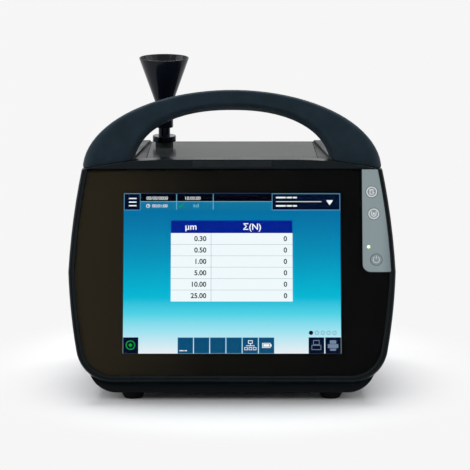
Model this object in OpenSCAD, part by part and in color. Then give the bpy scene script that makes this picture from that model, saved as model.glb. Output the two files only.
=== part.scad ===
// Portable airborne particle counter: a tilted touch-screen face in a moulded
// bezel, an arched carrying handle, a hollow rear housing on four feet and an
// isokinetic sampling probe, with the optical sensor, blower and battery inside.
// Two working frames are used.  The case frame has X to the right, Y backwards
// from the bottom edge of the face and Z up from the feet.  The face frame lies
// on the tilted front: X to the right, Y up the slope, Z out of the glass.

/* [Face] */
// Lean of the face and the handle, backwards from upright, in degrees
tilt = 23; // [10:1:35]
// Widest part of the bezel
face_w = 318.6; // [290:0.2:340]
// Height of the widest part, up the slope
face_mid = 109.5; // [95:0.5:125]
// Half width of the bezel near its foot
face_low_x = 150.4; // [135:0.1:158]
// Half width of the bezel at its shoulders
face_high_x = 147; // [130:0.1:155]
// Height of the shoulders, up the slope
face_high = 213; // [200:1:225]
// Height of the top of the face, up the slope
face_top = 221; // [216:1:230]
// Radius of the bezel's bottom corners
face_corner = 36.5; // [20:1:60]
// Height of the bezel's bottom edge above the table
face_z = 18.5; // [14:0.5:30]
// Thickness of the bezel behind the glass surface
bezel_t = 11; // [9:0.5:16]
// Height of the bezel's lip above the glass
lip_h = 1.2; // [0.4:0.1:2]
// Height of the glass's upper edge, up the slope
glass_high = 211.5; // [205:0.5:216]
// Width of the bezel outside the glass
rim_w = 6; // [5:0.25:9]
// Thickness of the cover glass
glass_t = 2; // [1:0.1:3]

/* [Display] */
// Width of the lit area, a 10.4 inch 4:3 panel
screen_w = 211.2; // [180:0.1:216]
// Height of the lit area
screen_h = 158.4; // [140:0.1:162]
// Height of the middle of the lit area, up the slope
screen_mid = 108.7; // [104:0.1:114]
// Width of the display module's metal frame
module_w = 236; // [226:1:244]
// Height of the display module's metal frame
module_h = 176; // [170:1:184]
// Thickness of the display module
module_t = 6.7; // [6:0.1:8]

/* [Keypad] */
// Distance of the keypad's inner edge from the centre line
keypad_x = 127.2; // [124:0.2:130]
// Height of the keypad's lower edge, up the slope
keypad_low = 109.5; // [100:0.5:116]
// Height of the keypad above the glass
keypad_proud = 0.8; // [0.2:0.1:1.2]
// Radius of the key caps
key_r = 5.6; // [4:0.1:6]
// Travel of the keys
key_travel = 0.5; // [0.3:0.05:0.55]

/* [Handle] */
// Half width of the arch's outer edge at its foot
arch_out_x = 147.2; // [138:0.1:150]
// Half width of the arch's inner edge at its foot
arch_in_x = 98; // [92:0.1:110]
// Height of the grip's top above the handle's base line
arch_rise = 79.1; // [65:0.1:95]
// Thickness of the grip at the top of the arch, up the slope
grip_h = 16.5; // [12:0.1:22]
// Thickness of the grip from front to back
grip_t = 30; // [20:0.5:34]
// Thickness of the legs from front to back at their feet
leg_t = 42; // [32:0.5:50]

/* [Case] */
// Half width of the case near its foot
case_low_x = 142.8; // [130:0.2:148]
// Depth of the case from the foot of the face to the rear
case_d = 218; // [205:1:240]
// Wall of the rear housing
wall = 3; // [2:0.25:4]
// Width at the rear over the width at the front
taper = 0.83; // [0.75:0.01:1]
// Depth of the recess in the top
recess_h = 3.2; // [2:0.1:5]
// Height of the feet
foot_h = 7.5; // [4:0.5:10]
// Radius of the feet at the top
foot_r = 12.3; // [8:0.1:13]

/* [Sampling probe] */
// Outer diameter of the probe's mouth
probe_d = 50; // [36:0.5:60]
// Outer diameter of the probe's stem
stem_d = 18; // [15:0.5:22]
// Height of the flared cone
cone_h = 45; // [30:1:60]
// Height of the straight stem
stem_h = 26; // [20:1:40]
// Outer diameter of the inlet's neck
neck_d = 11.7; // [9:0.1:12.5]
// Distance of the probe from the centre line, to the left
probe_x = 68.4; // [64:0.2:76]

/* [Rear] */
// Width of the rear panel
panel_w = 196; // [188:1:200]
// Height of the rear panel
panel_h = 150; // [146:1:156]
// Side of the cooling fan
fan_w = 60; // [50:1:62]
// Outer diameter of the exhaust spigot
spigot_d = 9.5; // [8:0.1:12]
// Length of the exhaust spigot
spigot_l = 14; // [12:0.5:20]

/* [Hidden] */
$fn = 48;
gap = 0.3;                     // running and assembly clearance
eps = 0.02;                    // thickness of a lofting slice
cut = 1;                       // how far a cutter passes through a surface
reach = 400;                   // size of a cutter that clears the whole case

// ---- Outline of the face and of the case --------------------------------------
// Each flank is two shallow arcs that meet at the widest point: three points from
// the bottom up, and how far each arc bulges from its chord.
face_low = 30;                 // where the bezel's low half width is taken, up the slope
flank_bulge = [1.4, 1.9];
face_flank = [[face_low_x, face_low], [face_w / 2, face_mid], [face_high_x, face_high]];
case_step = 4;                 // how far the case's flanks lie inside the bezel's
rise = cos(tilt);              // height gained for each millimetre up the slope
case_face = [[case_low_x, face_low], [face_w / 2 - case_step, face_mid],
    [face_high_x - case_step, face_high]];
case_flank = [for (p = case_face) [p[0], face_z + p[1] * rise]];
case_z = foot_h;               // underside of the case
case_corner = 28;              // radius of the case's bottom corners
case_top_r = 8;                // radius along the case's top edges
case_top = face_z + (face_top + lip_h * tan(tilt)) * rise;   // level of the shoulders
crown_flat = 60;               // half width of the level middle of the top
crown_r = 410;                 // radius of the fall from there to the flanks

function arc_r(p, q, b) = (norm(q - p) * norm(q - p) / 4 + b * b) / (2 * b);
function arc_c(p, q, b) =
    let (u = (q - p) / norm(q - p)) (p + q) / 2 + [-u[1], u[0]] * (arc_r(p, q, b) - b);
// Half width of a flank at height h, moved inwards by d
function arc_x(p, q, b, h, d) =
    let (c = arc_c(p, q, b), r = arc_r(p, q, b) - d) c[0] + sqrt(r * r - (h - c[1]) * (h - c[1]));
function flank_x(f, h, d = 0) =
    min(arc_x(f[0], f[1], flank_bulge[0], h, d), arc_x(f[1], f[2], flank_bulge[1], h, d));
// Centre of a corner of radius r that touches the level line at h and the arc p to q
function corner_c(p, q, b, h, side, r, d) =
    let (c = arc_c(p, q, b), k = arc_r(p, q, b) - d - r, y = h + side * r)
    [c[0] + sqrt(k * k - (y - c[1]) * (y - c[1])), y];
function heading(from, to) = atan2(to[1] - from[1], to[0] - from[0]);
function ring(c, r, a0, a1, n) =
    [for (i = [0 : n]) let (a = a0 + (a1 - a0) * i / n) c + r * [cos(a), sin(a)]];

// Right half of an outline from base to top, all of it moved inwards by d
function half_outline(f, base, top, rb, rt, d) =
    let (b = base + d, t = top - d, r1 = max(rb - d, 0.5), r2 = max(rt - d, 0.5),
        c1 = corner_c(f[0], f[1], flank_bulge[0], b, 1, r1, d),
        c2 = corner_c(f[1], f[2], flank_bulge[1], t, -1, r2, d),
        a1 = heading(arc_c(f[0], f[1], flank_bulge[0]), c1),
        a2 = heading(arc_c(f[1], f[2], flank_bulge[1]), c2),
        h1 = c1[1] + r1 * sin(a1), h2 = c2[1] + r2 * sin(a2), n = 7)
    concat(ring(c1, r1, -90, a1, 14),
        [for (i = [1 : n]) let (h = h1 + (f[1][1] - h1) * i / n) [flank_x(f, h, d), h]],
        [for (i = [1 : n]) let (h = f[1][1] + (h2 - f[1][1]) * i / n) [flank_x(f, h, d), h]],
        ring(c2, r2, a2, 90, 6));
function mirrored(p) = [for (i = [len(p) - 1 : -1 : 0]) [-p[i][0], p[i][1]]];
function outline_points(f, base, top, rb, rt, d = 0) =
    let (half = half_outline(f, base, top, rb, rt, d)) concat(half, mirrored(half));
module outline(f, base, top, rb, rt, d = 0, squeeze = 1)
    polygon([for (p = outline_points(f, base, top, rb, rt, d)) [p[0] * squeeze, p[1]]]);
// A closed skin through rings of points, each anticlockwise seen from the last one
module loft(rings) {
    n = len(rings[0]);
    last = len(rings) - 1;
    polyhedron([for (r = rings) each r], concat(
        [[for (k = [0 : n - 1]) k]],
        [for (j = [0 : last - 1], k = [0 : n - 1])
            [j * n + k, (j + 1) * n + k, (j + 1) * n + (k + 1) % n, j * n + (k + 1) % n]],
        [[for (k = [n - 1 : -1 : 0]) last * n + k]]));
}

// ---- Frames ---------------------------------------------------------------------
spigot_flange = 4;             // hexagon of the exhaust fitting
panel_y = case_d - 1.5;        // outer face of the rear panel
panel_t = 2;
front_y = -(panel_y + spigot_flange + spigot_l) / 2;
module in_case() translate([0, front_y, 0]) children();
module face_in_case() translate([0, 0, face_z]) rotate([90 - tilt, 0, 0]) children();
module on_face() in_case() face_in_case() children();
// A plate in the face frame, between two depths
module layer(n0, n1) translate([0, 0, n0]) linear_extrude(n1 - n0) children();
// A round piece that stands out backwards along Y
module rod_y(x, y, z, r, l) translate([x, y, z]) rotate([-90, 0, 0]) cylinder(r = r, h = l);
module box_from(low, high) translate(low) cube(high - low);
module at_points(points) for (p = points) translate(p) children();

// ---- Face: bezel, glass, display ----------------------------------------------
mask_t = 0.3;                  // printed black border behind the glass
seat_n = -glass_t - mask_t;    // depth of the ledge that carries the glass
ledge_t = 2.7;                 // thickness of that ledge
skin = 3.4;                    // wall of the bezel round its edge
keypad_rim = 4.6;              // bezel outside the keypad
lip_r = 2.2;                   // radius round the lip's outer edge
groove_at = 2.3;               // fine groove round the lip
groove_w = 0.8;
face_foot = 1.4;               // lower edge of the bezel, up the slope
overrun = 12;                  // outline drawn past the top, then cut to the crown
screw_in = 12;                 // bezel screws, inwards from the bezel's edge
screw_points = [for (x = [-1, 1]) each [[x * flank_x(face_flank, 100, screw_in), 100],
    [x * 100, 205], [x * 70, screw_in]]];
boss_r = 4;
flange_w = 16;                 // housing's front flange, inwards from the bezel's edge
flange_low = 15;               // its opening, up the slope
flange_high = 199;

function face_points(d) =
    outline_points(face_flank, face_foot, face_top + overrun, face_corner, 1, d);
module face_shape(d = 0) polygon(face_points(d));
module crown(x_reach = 200, down = 30) {
    fall = [for (x = [crown_flat : 8 : x_reach])
        [x, case_top - (x - crown_flat) * (x - crown_flat) / (2 * crown_r)]];
    polygon(concat([[x_reach, -down]], [for (i = [len(fall) - 1 : -1 : 0]) fall[i]],
        [for (p = fall) [-p[0], p[1]]], [[-x_reach, -down]]));
}
module below_crown() rotate([90, 0, 0]) linear_extrude(reach, center = true) crown();
// The keypad's free corner is round and its outer edge follows the bezel
module keypad_shape(grow = 0) {
    corner = 8 + grow;
    intersection() {
        face_shape(keypad_rim - grow);
        union() {
            translate([keypad_x - grow, keypad_low - grow + corner])
                square([60, glass_high - keypad_low + 2 * grow - corner]);
            translate([keypad_x - grow + corner, keypad_low - grow])
                square([60, corner]);
            translate([keypad_x - grow + corner, keypad_low - grow + corner])
                circle(corner);
        }
    }
}
module glass_shape(grow = 0) {
    intersection() {
        face_shape(rim_w - grow);
        translate([-200, -10]) square([400, glass_high + 10 + grow]);
    }
}
module window_shape(w, h) translate([-w / 2, screen_mid - h / 2]) square([w, h]);

module front_bezel() color([0.10, 0.12, 0.14]) {
    // depth and inset of each slice, the last ones round the lip's edge
    lip = concat([[-bezel_t, 0.8], [-7, 0]],
        [for (a = [0 : 15 : 90]) [lip_h - lip_r * (1 - sin(a)), lip_r * (1 - cos(a))]]);
    intersection() {
        on_face() difference() {
            loft([for (s = lip) [for (p = face_points(s[1])) [p[0], p[1], s[0]]]]);
            layer(seat_n, lip_h + cut) {
                glass_shape(gap);
                keypad_shape(gap);
            }
            layer(lip_h - 0.9, lip_h + cut) difference() {
                intersection() {
                    face_shape(groove_at);
                    translate([-200, -10]) square([400, glass_high + 10]);
                }
                face_shape(groove_at + groove_w);
            }
            difference() {
                layer(-bezel_t - cut, seat_n - ledge_t) difference() {
                    face_shape(skin);
                    translate([-200, glass_high]) square([400, 40]);
                }
                for (p = screw_points) translate([p[0], p[1], -bezel_t])
                    cylinder(r = boss_r, h = bezel_t + seat_n - ledge_t + eps);
            }
            layer(-bezel_t - cut, seat_n + cut) window_shape(module_w + 2 * gap, module_h + 2 * gap);
            for (p = screw_points) translate([p[0], p[1], -bezel_t - cut])
                cylinder(r = 1.5, h = 6 + cut);
            for (k = key_points) translate([k[0], k[1], -bezel_t]) cylinder(r = key_hole, h = bezel_t);
            translate([led_at[0], led_at[1], -bezel_t]) cylinder(r = led_r + gap, h = bezel_t);
        }
        below_crown();
    }
}
module cover_glass() color([0.05, 0.05, 0.06, 0.4]) on_face() layer(-glass_t, 0) difference() {
    glass_shape();
    keypad_shape(gap);
}
module glass_mask() color([0.02, 0.02, 0.02]) on_face() layer(seat_n, -glass_t) difference() {
    glass_shape(-0.3);
    keypad_shape(gap);
    window_shape(screen_w + gap, screen_h + gap);
}
cell_t = 1.8;                  // display cell behind the frame's front lip
cell_edge = 2;                 // how far the cell reaches under that lip
frame_lip = 0.6;
module display_frame() color([0.6, 0.6, 0.62]) on_face() difference() {
    layer(seat_n - module_t, seat_n) window_shape(module_w, module_h);
    layer(seat_n - frame_lip - cell_t, seat_n + cut)
        window_shape(screen_w + 0.8, screen_h + 0.8);
    layer(seat_n - frame_lip - cell_t, seat_n - frame_lip)
        window_shape(screen_w + 2 * cell_edge, screen_h + 2 * cell_edge);
}
module display_panel() color([0.1, 0.6, 0.8]) on_face()
    layer(seat_n - frame_lip - cell_t, seat_n - frame_lip)
        window_shape(screen_w + 2 * cell_edge, screen_h + 2 * cell_edge);

// ---- Keypad -------------------------------------------------------------------
key_points = [[136.5, 188.8], [138.4, 166.9], [140.4, 121.4]];
led_at = [133, 134.2];
led_r = 1.6;
key_flange = 1.1;              // how far a key's flange reaches under the panel
key_flange_t = 0.7;
key_hole = key_r + key_flange + gap + 0.2;
board_t = 1.6;
board_n = seat_n - ledge_t;    // front of the keypad's board
flange_n = seat_n - gap - key_flange_t;    // back of a key's flange
dome_h = flange_n - key_travel - gap - board_n;    // switch under each key, met past the travel
module keypad_panel() color([0.55, 0.62, 0.65]) on_face() difference() {
    layer(seat_n, keypad_proud) keypad_shape();
    for (k = key_points) translate([k[0], k[1], seat_n - cut])
        cylinder(r = key_r + gap + 0.05, h = 10);
    translate([led_at[0], led_at[1], seat_n - cut]) cylinder(r = led_r + 0.1, h = 10);
}
module key(p) color([0.6, 0.66, 0.7]) on_face() translate([p[0], p[1], 0]) {
    top = keypad_proud + 0.15;
    translate([0, 0, seat_n - gap - eps]) cylinder(r = key_r, h = top - seat_n + gap + eps);
    translate([0, 0, flange_n]) cylinder(r = key_r + key_flange, h = key_flange_t);
}
module start_key() key(key_points[0]);
module menu_key() key(key_points[1]);
module power_key() key(key_points[2]);
module status_led() color([0.8, 1, 0.6]) on_face() translate([led_at[0], led_at[1], board_n])
    cylinder(r = led_r, h = keypad_proud + 0.1 - board_n);
module keypad_board() color([0.05, 0.3, 0.15]) on_face() {
    layer(board_n - board_t, board_n) intersection() {
        face_shape(skin + 0.8);
        translate([keypad_x + 1.5, keypad_low + 3]) square([60, 96]);
    }
    for (k = key_points) translate([k[0], k[1], board_n - eps]) cylinder(r = 2.5, h = dome_h + eps);
}

// ---- Handle -------------------------------------------------------------------
// The arch is lofted: its outer edge is an ellipse and its inner edge a squarer
// curve, both standing on one base line across the face, and each section between
// them is a rounded rectangle that grows deeper towards the feet of the legs.
arch_base = 215;
arch_front = -3;               // front of the handle, behind the glass surface
out_power = 1.98;
in_power = 2.26;
section_power = 4.2;
leg_below = 18;                // legs drawn on below the base line, then cut to their seat
arch_step = 4;
section_n = 28;
function root_of(v, p) = sign(v) * pow(abs(v), 2 / p);
function arch_at(a, h, p, t) =
    t < 0 ? [a, arch_base - leg_below] : t > 180 ? [-a, arch_base - leg_below]
    : [a * root_of(cos(t), p), arch_base + h * root_of(sin(t), p)];
function arch_section(t) =
    let (o = arch_at(arch_out_x, arch_rise, out_power, t),
        i = arch_at(arch_in_x, arch_rise - grip_h, in_power, t),
        m = (o + i) / 2, w = norm(o - i) / 2, u = (o - i) / norm(o - i),
        s = sin(max(0, min(180, t))), d = (grip_t + (leg_t - grip_t) * (1 - s) * (1 - s)) / 2)
    [for (k = [0 : section_n - 1]) let (a = 360 * k / section_n)
        [m[0] + u[0] * w * root_of(cos(a), section_power), m[1] + u[1] * w * root_of(cos(a), section_power),
            arch_front - d + d * root_of(sin(a), section_power)]];
handle_screw_points = [for (x = [-1, 1], y = [104, 122]) [x * 121, y]];
roof = 12;                     // thickness of the case's top at the middle
module handle() color([0.16, 0.18, 0.21]) {
    stations = concat([-arch_step], [for (t = [0 : arch_step : 180]) t], [180 + arch_step]);
    difference() {
        on_face() loft([for (t = stations) arch_section(t)]);
        below_crown();
        in_case() at_points(handle_screw_points) translate([0, 0, case_top - roof])
            cylinder(r = 2.1, h = roof + 13);
    }
}
module handle_screws() color("silver") in_case() at_points(handle_screw_points) {
    translate([0, 0, case_top - roof - 3.5]) cylinder(r = 4.2, h = 3.5);
    translate([0, 0, case_top - roof - eps]) cylinder(r = 2, h = roof + 12);
}

// ---- Rear housing -------------------------------------------------------------
// Lofted from the tilted outline behind the bezel to an upright one at the rear,
// with a waist slice between them and round rear edges.
round_y = 22;                  // radius round the case's rear edges
rear_wall = 5;
waist_y = 140;
waist = 0.965;                 // width at the waist slice over the front's
taper_y = case_d - round_y;
inner_r = round_y - rear_wall + 1;
function front_s(z, n) = (z - face_z - n * sin(tilt)) / rise;     // slope distance of a level
module front_slice(n, base, top, d) face_in_case() layer(n - eps, n)
    outline(case_face, front_s(base, n), front_s(top, n), case_corner, case_top_r, d);
module upright_slice(y, base, top, d, k) translate([0, y + eps, 0]) rotate([90, 0, 0])
    linear_extrude(eps) outline(case_flank, base, top, case_corner, case_top_r, d, k);
module shell_form(front_n, top, d, rear_y, r) hull() {
    front_slice(front_n, case_z, top, d);
    upright_slice(waist_y, case_z, top, d, waist);
    for (a = [0 : 18 : 90])
        upright_slice(rear_y - r + r * sin(a) - eps, case_z, top, d + r * (1 - cos(a)), taper);
}
module case_outer() shell_form(-bezel_t, case_top, 0, case_d, round_y);
module case_inner() shell_form(-bezel_t - wall, case_top - roof + wall, wall, case_d - rear_wall, inner_r);
recess_front_x = 98;
recess_rear_x = 84;
module recess_shape(y0, y1) {
    function edge_x(y) = recess_front_x + (recess_rear_x - recess_front_x) * (y - 97) / 99;
    polygon([[-edge_x(y0), y0], [edge_x(y0), y0], [edge_x(y1), y1], [-edge_x(y1), y1]]);
}
recess_z = case_top - recess_h;
inlay = [[85, 102], [82, 204]];    // top panel's pocket: half width at its front and its rear edge
inlay_t = 2;
module inlay_shape(d = 0) {
    front = inlay[0] + [-d, d];
    back = inlay[1] - [d, d];
    polygon([[-front[0], front[1]], front, back, [-back[0], back[1]]]);
}
probe_y = 182;
boss_h = 5;                    // seat of the inlet fitting, above the recess
seat_r = 9;
foot_at = [[-96, 20], [96, 20], [-82, 183], [82, 183]];
chassis = [[-98, 42], [98, 202]];
chassis_z = 14;
chassis_t = 2;
chassis_points = [for (x = [-92, 92], y = [50, 196]) [x, y]];
panel_mid_z = 113;
module panel_shape(d) translate([-panel_w / 2 + d, panel_mid_z - panel_h / 2 + d])
    square([panel_w - 2 * d, panel_h - 2 * d]);
module upright(y0, y1) translate([0, y1, 0]) rotate([90, 0, 0]) linear_extrude(y1 - y0) children();
panel_ledge = 7;
panel_screw_points = [for (x = [-1, 1], z = [-1, 1])
    [x * (panel_w / 2 - 3.5), panel_mid_z + z * (panel_h / 2 - 3.5)]];
vent_n = 9;
module rear_housing() color([0.07, 0.09, 0.11]) difference() {
    intersection() {
        in_case() difference() {
            case_outer();
            difference() {
                case_inner();
                at_points(chassis_points) cylinder(r = 5, h = chassis_z);
                at_points(foot_at) cylinder(r = 4.5, h = chassis_z - 2);
            }
        }
        below_crown();
    }
    on_face() {
        layer(-bezel_t - wall - cut, cut) intersection() {
            face_shape(flange_w);
            translate([-200, flange_low]) square([400, flange_high - flange_low]);
        }
        for (p = screw_points) translate([p[0], p[1], -bezel_t - wall - cut])
            cylinder(r = 1.8, h = wall + 2 * cut);
    }
    in_case() {
        translate([0, 0, recess_z]) linear_extrude(20) recess_shape(90, 260);
        translate([0, 0, recess_z - inlay_t]) linear_extrude(20) inlay_shape();
        translate([-probe_x, probe_y, recess_z - 20]) cylinder(r = shank_r + 0.1, h = 30);
        upright(panel_y - panel_t, case_d + cut) panel_shape(0);
        upright(case_d - rear_wall - cut, case_d) panel_shape(panel_ledge);
        for (p = panel_screw_points) rod_y(p[0], panel_y - panel_t - 4, p[1], 1.3, 6);
        at_points(handle_screw_points) translate([0, 0, case_top - roof - cut])
            cylinder(r = 2.2, h = roof + 3);
        at_points(chassis_points) translate([0, 0, case_z + 2]) cylinder(r = 1.6, h = 20);
        at_points(foot_at) translate([0, 0, case_z - cut]) cylinder(r = 1.6, h = 6);
        for (i = [0 : vent_n - 1]) box_from([-42 + i * 10, 95, case_z - cut],
            [-38 + i * 10, 150, case_z + wall + cut]);
    }
}
module bezel_screws() color("silver") on_face() for (p = screw_points)
    translate([p[0], p[1], -bezel_t - wall]) {
        translate([0, 0, -2.5]) cylinder(r = 3, h = 2.5);
        translate([0, 0, -eps]) cylinder(r = 1.4, h = wall + 5 + eps);
    }
module top_panel() color([0.2, 0.22, 0.23]) in_case() difference() {
    union() {
        translate([0, 0, recess_z - inlay_t]) linear_extrude(inlay_t) inlay_shape(gap);
        translate([-probe_x, probe_y, recess_z - inlay_t]) cylinder(r = seat_r, h = inlay_t + boss_h);
    }
    translate([-probe_x, probe_y, recess_z - 10]) cylinder(r = shank_r + 0.1, h = 20);
}

// ---- Feet ---------------------------------------------------------------------
module foot(p) color([0.03, 0.03, 0.03]) in_case() translate([p[0], p[1], 0]) difference() {
    cylinder(r1 = foot_r - 3.5, r2 = foot_r, h = foot_h - eps);
    translate([0, 0, -cut]) cylinder(r = 3.4, h = 2.6 + cut);
    cylinder(r = 1.6, h = foot_h + cut);
}
module foot_front_left() foot(foot_at[0]);
module foot_front_right() foot(foot_at[1]);
module foot_rear_left() foot(foot_at[2]);
module foot_rear_right() foot(foot_at[3]);
module foot_screws() color("silver") in_case() at_points(foot_at) {
    translate([0, 0, 0.6]) cylinder(r = 3, h = 2);
    translate([0, 0, 2.5]) cylinder(r = 1.5, h = foot_h + 2);
}

// ---- Inlet and sampling probe -------------------------------------------------
shank_r = 6;                   // threaded shank below the fitting
nut_h = 5.6;
neck_h = 8.4;                  // neck showing between nut and probe
plug_h = 12;                   // neck inside the probe's stem
fit_z = recess_z + boss_h;     // seat of the fitting
stem_z = fit_z + nut_h + neck_h;
flow_r = 4.4;                  // bore of the sampling line
module on_inlet() in_case() translate([-probe_x, probe_y, 0]) children();
module inlet_fitting() color([0.55, 0.56, 0.58]) on_inlet() difference() {
    union() {
        translate([0, 0, fit_z]) cylinder(r = 11.75, h = nut_h);
        translate([0, 0, fit_z]) cylinder(d = neck_d, h = nut_h + neck_h + plug_h);
        translate([0, 0, recess_z - 18]) cylinder(r = shank_r, h = 18 + boss_h + eps);
    }
    translate([0, 0, recess_z - 40]) cylinder(r = flow_r, h = 100);
    translate([0, 0, stem_z + 4]) rotate_extrude() translate([neck_d / 2 - 1, 0]) square([3, 2]);
}
module inlet_nut() color([0.6, 0.6, 0.62]) on_inlet() difference() {
    translate([0, 0, case_top - roof - 5]) cylinder(r = 11, h = 5, $fn = 6);
    translate([0, 0, case_top - roof - 6]) cylinder(r = shank_r, h = 8);
}
module inlet_tube() color([0.75, 0.76, 0.78]) on_inlet() difference() {
    translate([0, 0, sensor_top]) cylinder(r = shank_r, h = recess_z - 18 - sensor_top);
    translate([0, 0, sensor_top - cut]) cylinder(r = flow_r, h = 60);
}
probe_wall = 1.2;
probe_bore = 4.8;
module isokinetic_probe() color([0.05, 0.05, 0.06]) on_inlet() translate([0, 0, stem_z])
    rotate_extrude($fn = 96) {
        s = stem_d / 2;
        m = probe_d / 2;
        n = neck_d / 2 + 0.05;
        h = stem_h + cone_h;
        polygon([[n, 0], [s - 0.8, 0], [s, 0.8], [s, stem_h], [m, h - 0.8], [m - 0.4, h],
            [m - probe_wall, h], [probe_bore, stem_h - 2], [probe_bore, plug_h + 1], [n, plug_h + 1]]);
    }
module probe_o_ring() color([0.1, 0.1, 0.1]) on_inlet() translate([0, 0, stem_z + 5])
    rotate_extrude() translate([neck_d / 2 - 0.45, 0]) circle(0.45, $fn = 24);

// ---- Rear panel, fan, sockets ---------------------------------------------------
fan_at = [52, 140];
fan_t = 15;
fan_bore = fan_w * 0.47;
fan_face = case_d - rear_wall - gap;       // fan's outer face, inside the housing's ledge
exhaust_at = [-25, 150];
door_low = [-88, 44];
door_high = [-6, 104];
door_t = 3;
bay_margin = 3;
dc_at = [22, 62];
ethernet_at = [48, 62];
usb_at = [76, 62];
fan_screw_span = 25;
module rear_panel() color([0.30, 0.31, 0.33]) in_case() difference() {
    union() {
        upright(panel_y - panel_t, panel_y) panel_shape(gap);
        // pads that bring the fan and the sockets up to the panel's inner face
        for (x = [-1, 1], z = [-1, 1])
            rod_y(fan_at[0] + x * fan_screw_span, fan_face, fan_at[1] + z * fan_screw_span,
                3, panel_y - panel_t - fan_face + eps);
    }
    for (p = panel_screw_points) rod_y(p[0], panel_y - panel_t - cut, p[1], 1.7, 5);
    rod_y(fan_at[0], panel_y - panel_t - cut, fan_at[1], fan_bore, 5);
    for (x = [-1, 1], z = [-1, 1])
        rod_y(fan_at[0] + x * fan_screw_span, fan_face - cut, fan_at[1] + z * fan_screw_span, 1.5, 8);
    rod_y(exhaust_at[0], panel_y - panel_t - cut, exhaust_at[1], shank_r + 0.1, 5);
    upright(panel_y - panel_t - cut, panel_y + cut) translate(door_low + [bay_margin, bay_margin])
        square(door_high - door_low - 2 * [bay_margin, bay_margin]);
    rod_y(dc_at[0], panel_y - panel_t - cut, dc_at[1], 5.6, 5);
    upright(panel_y - panel_t - cut, panel_y + cut) {
        translate(ethernet_at - [8.1, 6.9]) square([16.2, 13.8]);
        translate(usb_at - [7.4, 3.8]) square([14.8, 7.6]);
    }
}
module panel_screws() color("silver") in_case() for (p = panel_screw_points) {
    rod_y(p[0], panel_y, p[1], 3, 1.8);
    rod_y(p[0], panel_y - 5, p[1], 1.3, 5 + eps);
}
rotor_gap = 0.9;
blades = 7;
hub_r = 13;
module fan_frame() color([0.06, 0.06, 0.06]) on_fan(fan_face - fan_t) {
        difference() {
            translate([-fan_w / 2, -fan_w / 2, 0]) cube([fan_w, fan_w, fan_t]);
            translate([0, 0, -cut]) cylinder(r = fan_bore, h = fan_t + 2 * cut, $fn = 96);
            fan_corners() translate([0, 0, -cut]) cylinder(r = 1.9, h = 30);
        }
        difference() {
            union() {
                cylinder(r = hub_r, h = 2);
                for (a = [45 : 90 : 315]) rotate(a)
                    translate([hub_r - 1, -1.5, 0]) cube([fan_bore - hub_r + 1.5, 3, 2]);
            }
            translate([0, 0, -cut]) cylinder(r = 1.55, h = 5);
        }
    }
module fan_rotor() color([0.08, 0.08, 0.09]) on_fan(fan_face - fan_t) {
        translate([0, 0, 2.4]) cylinder(r = hub_r, h = fan_t - 3.4);
        translate([0, 0, 0.3]) cylinder(r = 1.5, h = 3);
        intersection() {
            for (i = [0 : blades - 1]) rotate(360 * i / blades)
                translate([hub_r - 1, 0, 2.4 + (fan_t - 3.4) / 2]) rotate([38, 0, 0])
                    translate([0, -0.7, -8]) cube([20, 1.4, 16]);
            translate([0, 0, 2.6]) difference() {
                cylinder(r = fan_bore - rotor_gap, h = fan_t - 3.8, $fn = 96);
                translate([0, 0, -cut]) cylinder(r = hub_r - 0.5, h = fan_t);
            }
        }
    }
guard_out = 1.6;               // guard's rings stand off the panel
guard_t = 1.2;
module on_fan(y) in_case() translate([fan_at[0], y, fan_at[1]]) rotate([-90, 0, 0]) children();
module fan_corners() for (x = [-1, 1], y = [-1, 1])
    translate([x * fan_screw_span, y * fan_screw_span, 0]) children();
module fan_guard() color("silver") on_fan(panel_y) difference() {
    union() {
        translate([0, 0, guard_out]) linear_extrude(guard_t) {
            for (r = [9, 16, 23, 29.5]) difference() {
                circle(r + 0.8, $fn = 72);
                circle(r - 0.8, $fn = 72);
            }
            for (a = [45, 135]) rotate(a) square([2 * fan_screw_span * sqrt(2), 2], center = true);
        }
        fan_corners() cylinder(r = 3.6, h = guard_out + guard_t);
    }
    fan_corners() translate([0, 0, -cut]) cylinder(r = 1.7, h = 10);
}
module fan_screws() color("silver") on_fan(panel_y) fan_corners() {
    translate([0, 0, guard_out + guard_t]) cylinder(r = 3, h = 1.8);
    translate([0, 0, -8]) cylinder(r = 1.45, h = 8 + guard_out + guard_t + eps);
}
module exhaust_fitting() color([0.6, 0.6, 0.62]) in_case()
    translate([exhaust_at[0], panel_y, exhaust_at[1]]) rotate([-90, 0, 0]) difference() {
        union() {
            cylinder(r = 9, h = spigot_flange, $fn = 6);
            translate([0, 0, spigot_flange - eps]) cylinder(d = spigot_d, h = spigot_l + eps);
            translate([0, 0, -14]) cylinder(r = shank_r, h = 14 + eps);
        }
        translate([0, 0, -20]) cylinder(r = spigot_d / 2 - 1.5, h = 50);
    }
module dc_inlet() color([0.05, 0.05, 0.05]) in_case()
    translate([dc_at[0], panel_y, dc_at[1]]) rotate([-90, 0, 0]) {
        difference() {
            union() {
                cylinder(r = 7.5, h = 1.5);
                translate([0, 0, -14]) cylinder(r = 5.5, h = 14 + eps);
            }
            translate([0, 0, -10]) cylinder(r = 3.3, h = 20);
        }
        translate([0, 0, -12]) cylinder(r = 1.05, h = 12);
    }
module socket(p, w, h, open_w, open_h, depth) in_case() difference() {
    upright(panel_y - depth, panel_y + 0.4) translate(p - [w, h] / 2) square([w, h]);
    upright(panel_y - depth + 3, panel_y + cut) translate(p - [open_w, open_h] / 2) square([open_w, open_h]);
}
module ethernet_socket() color([0.7, 0.71, 0.73]) socket(ethernet_at, 16, 13.6, 12, 8.4, 18);
module usb_socket() color([0.75, 0.76, 0.78]) socket(usb_at, 14.6, 7.4, 12.8, 5.4, 14);

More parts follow.
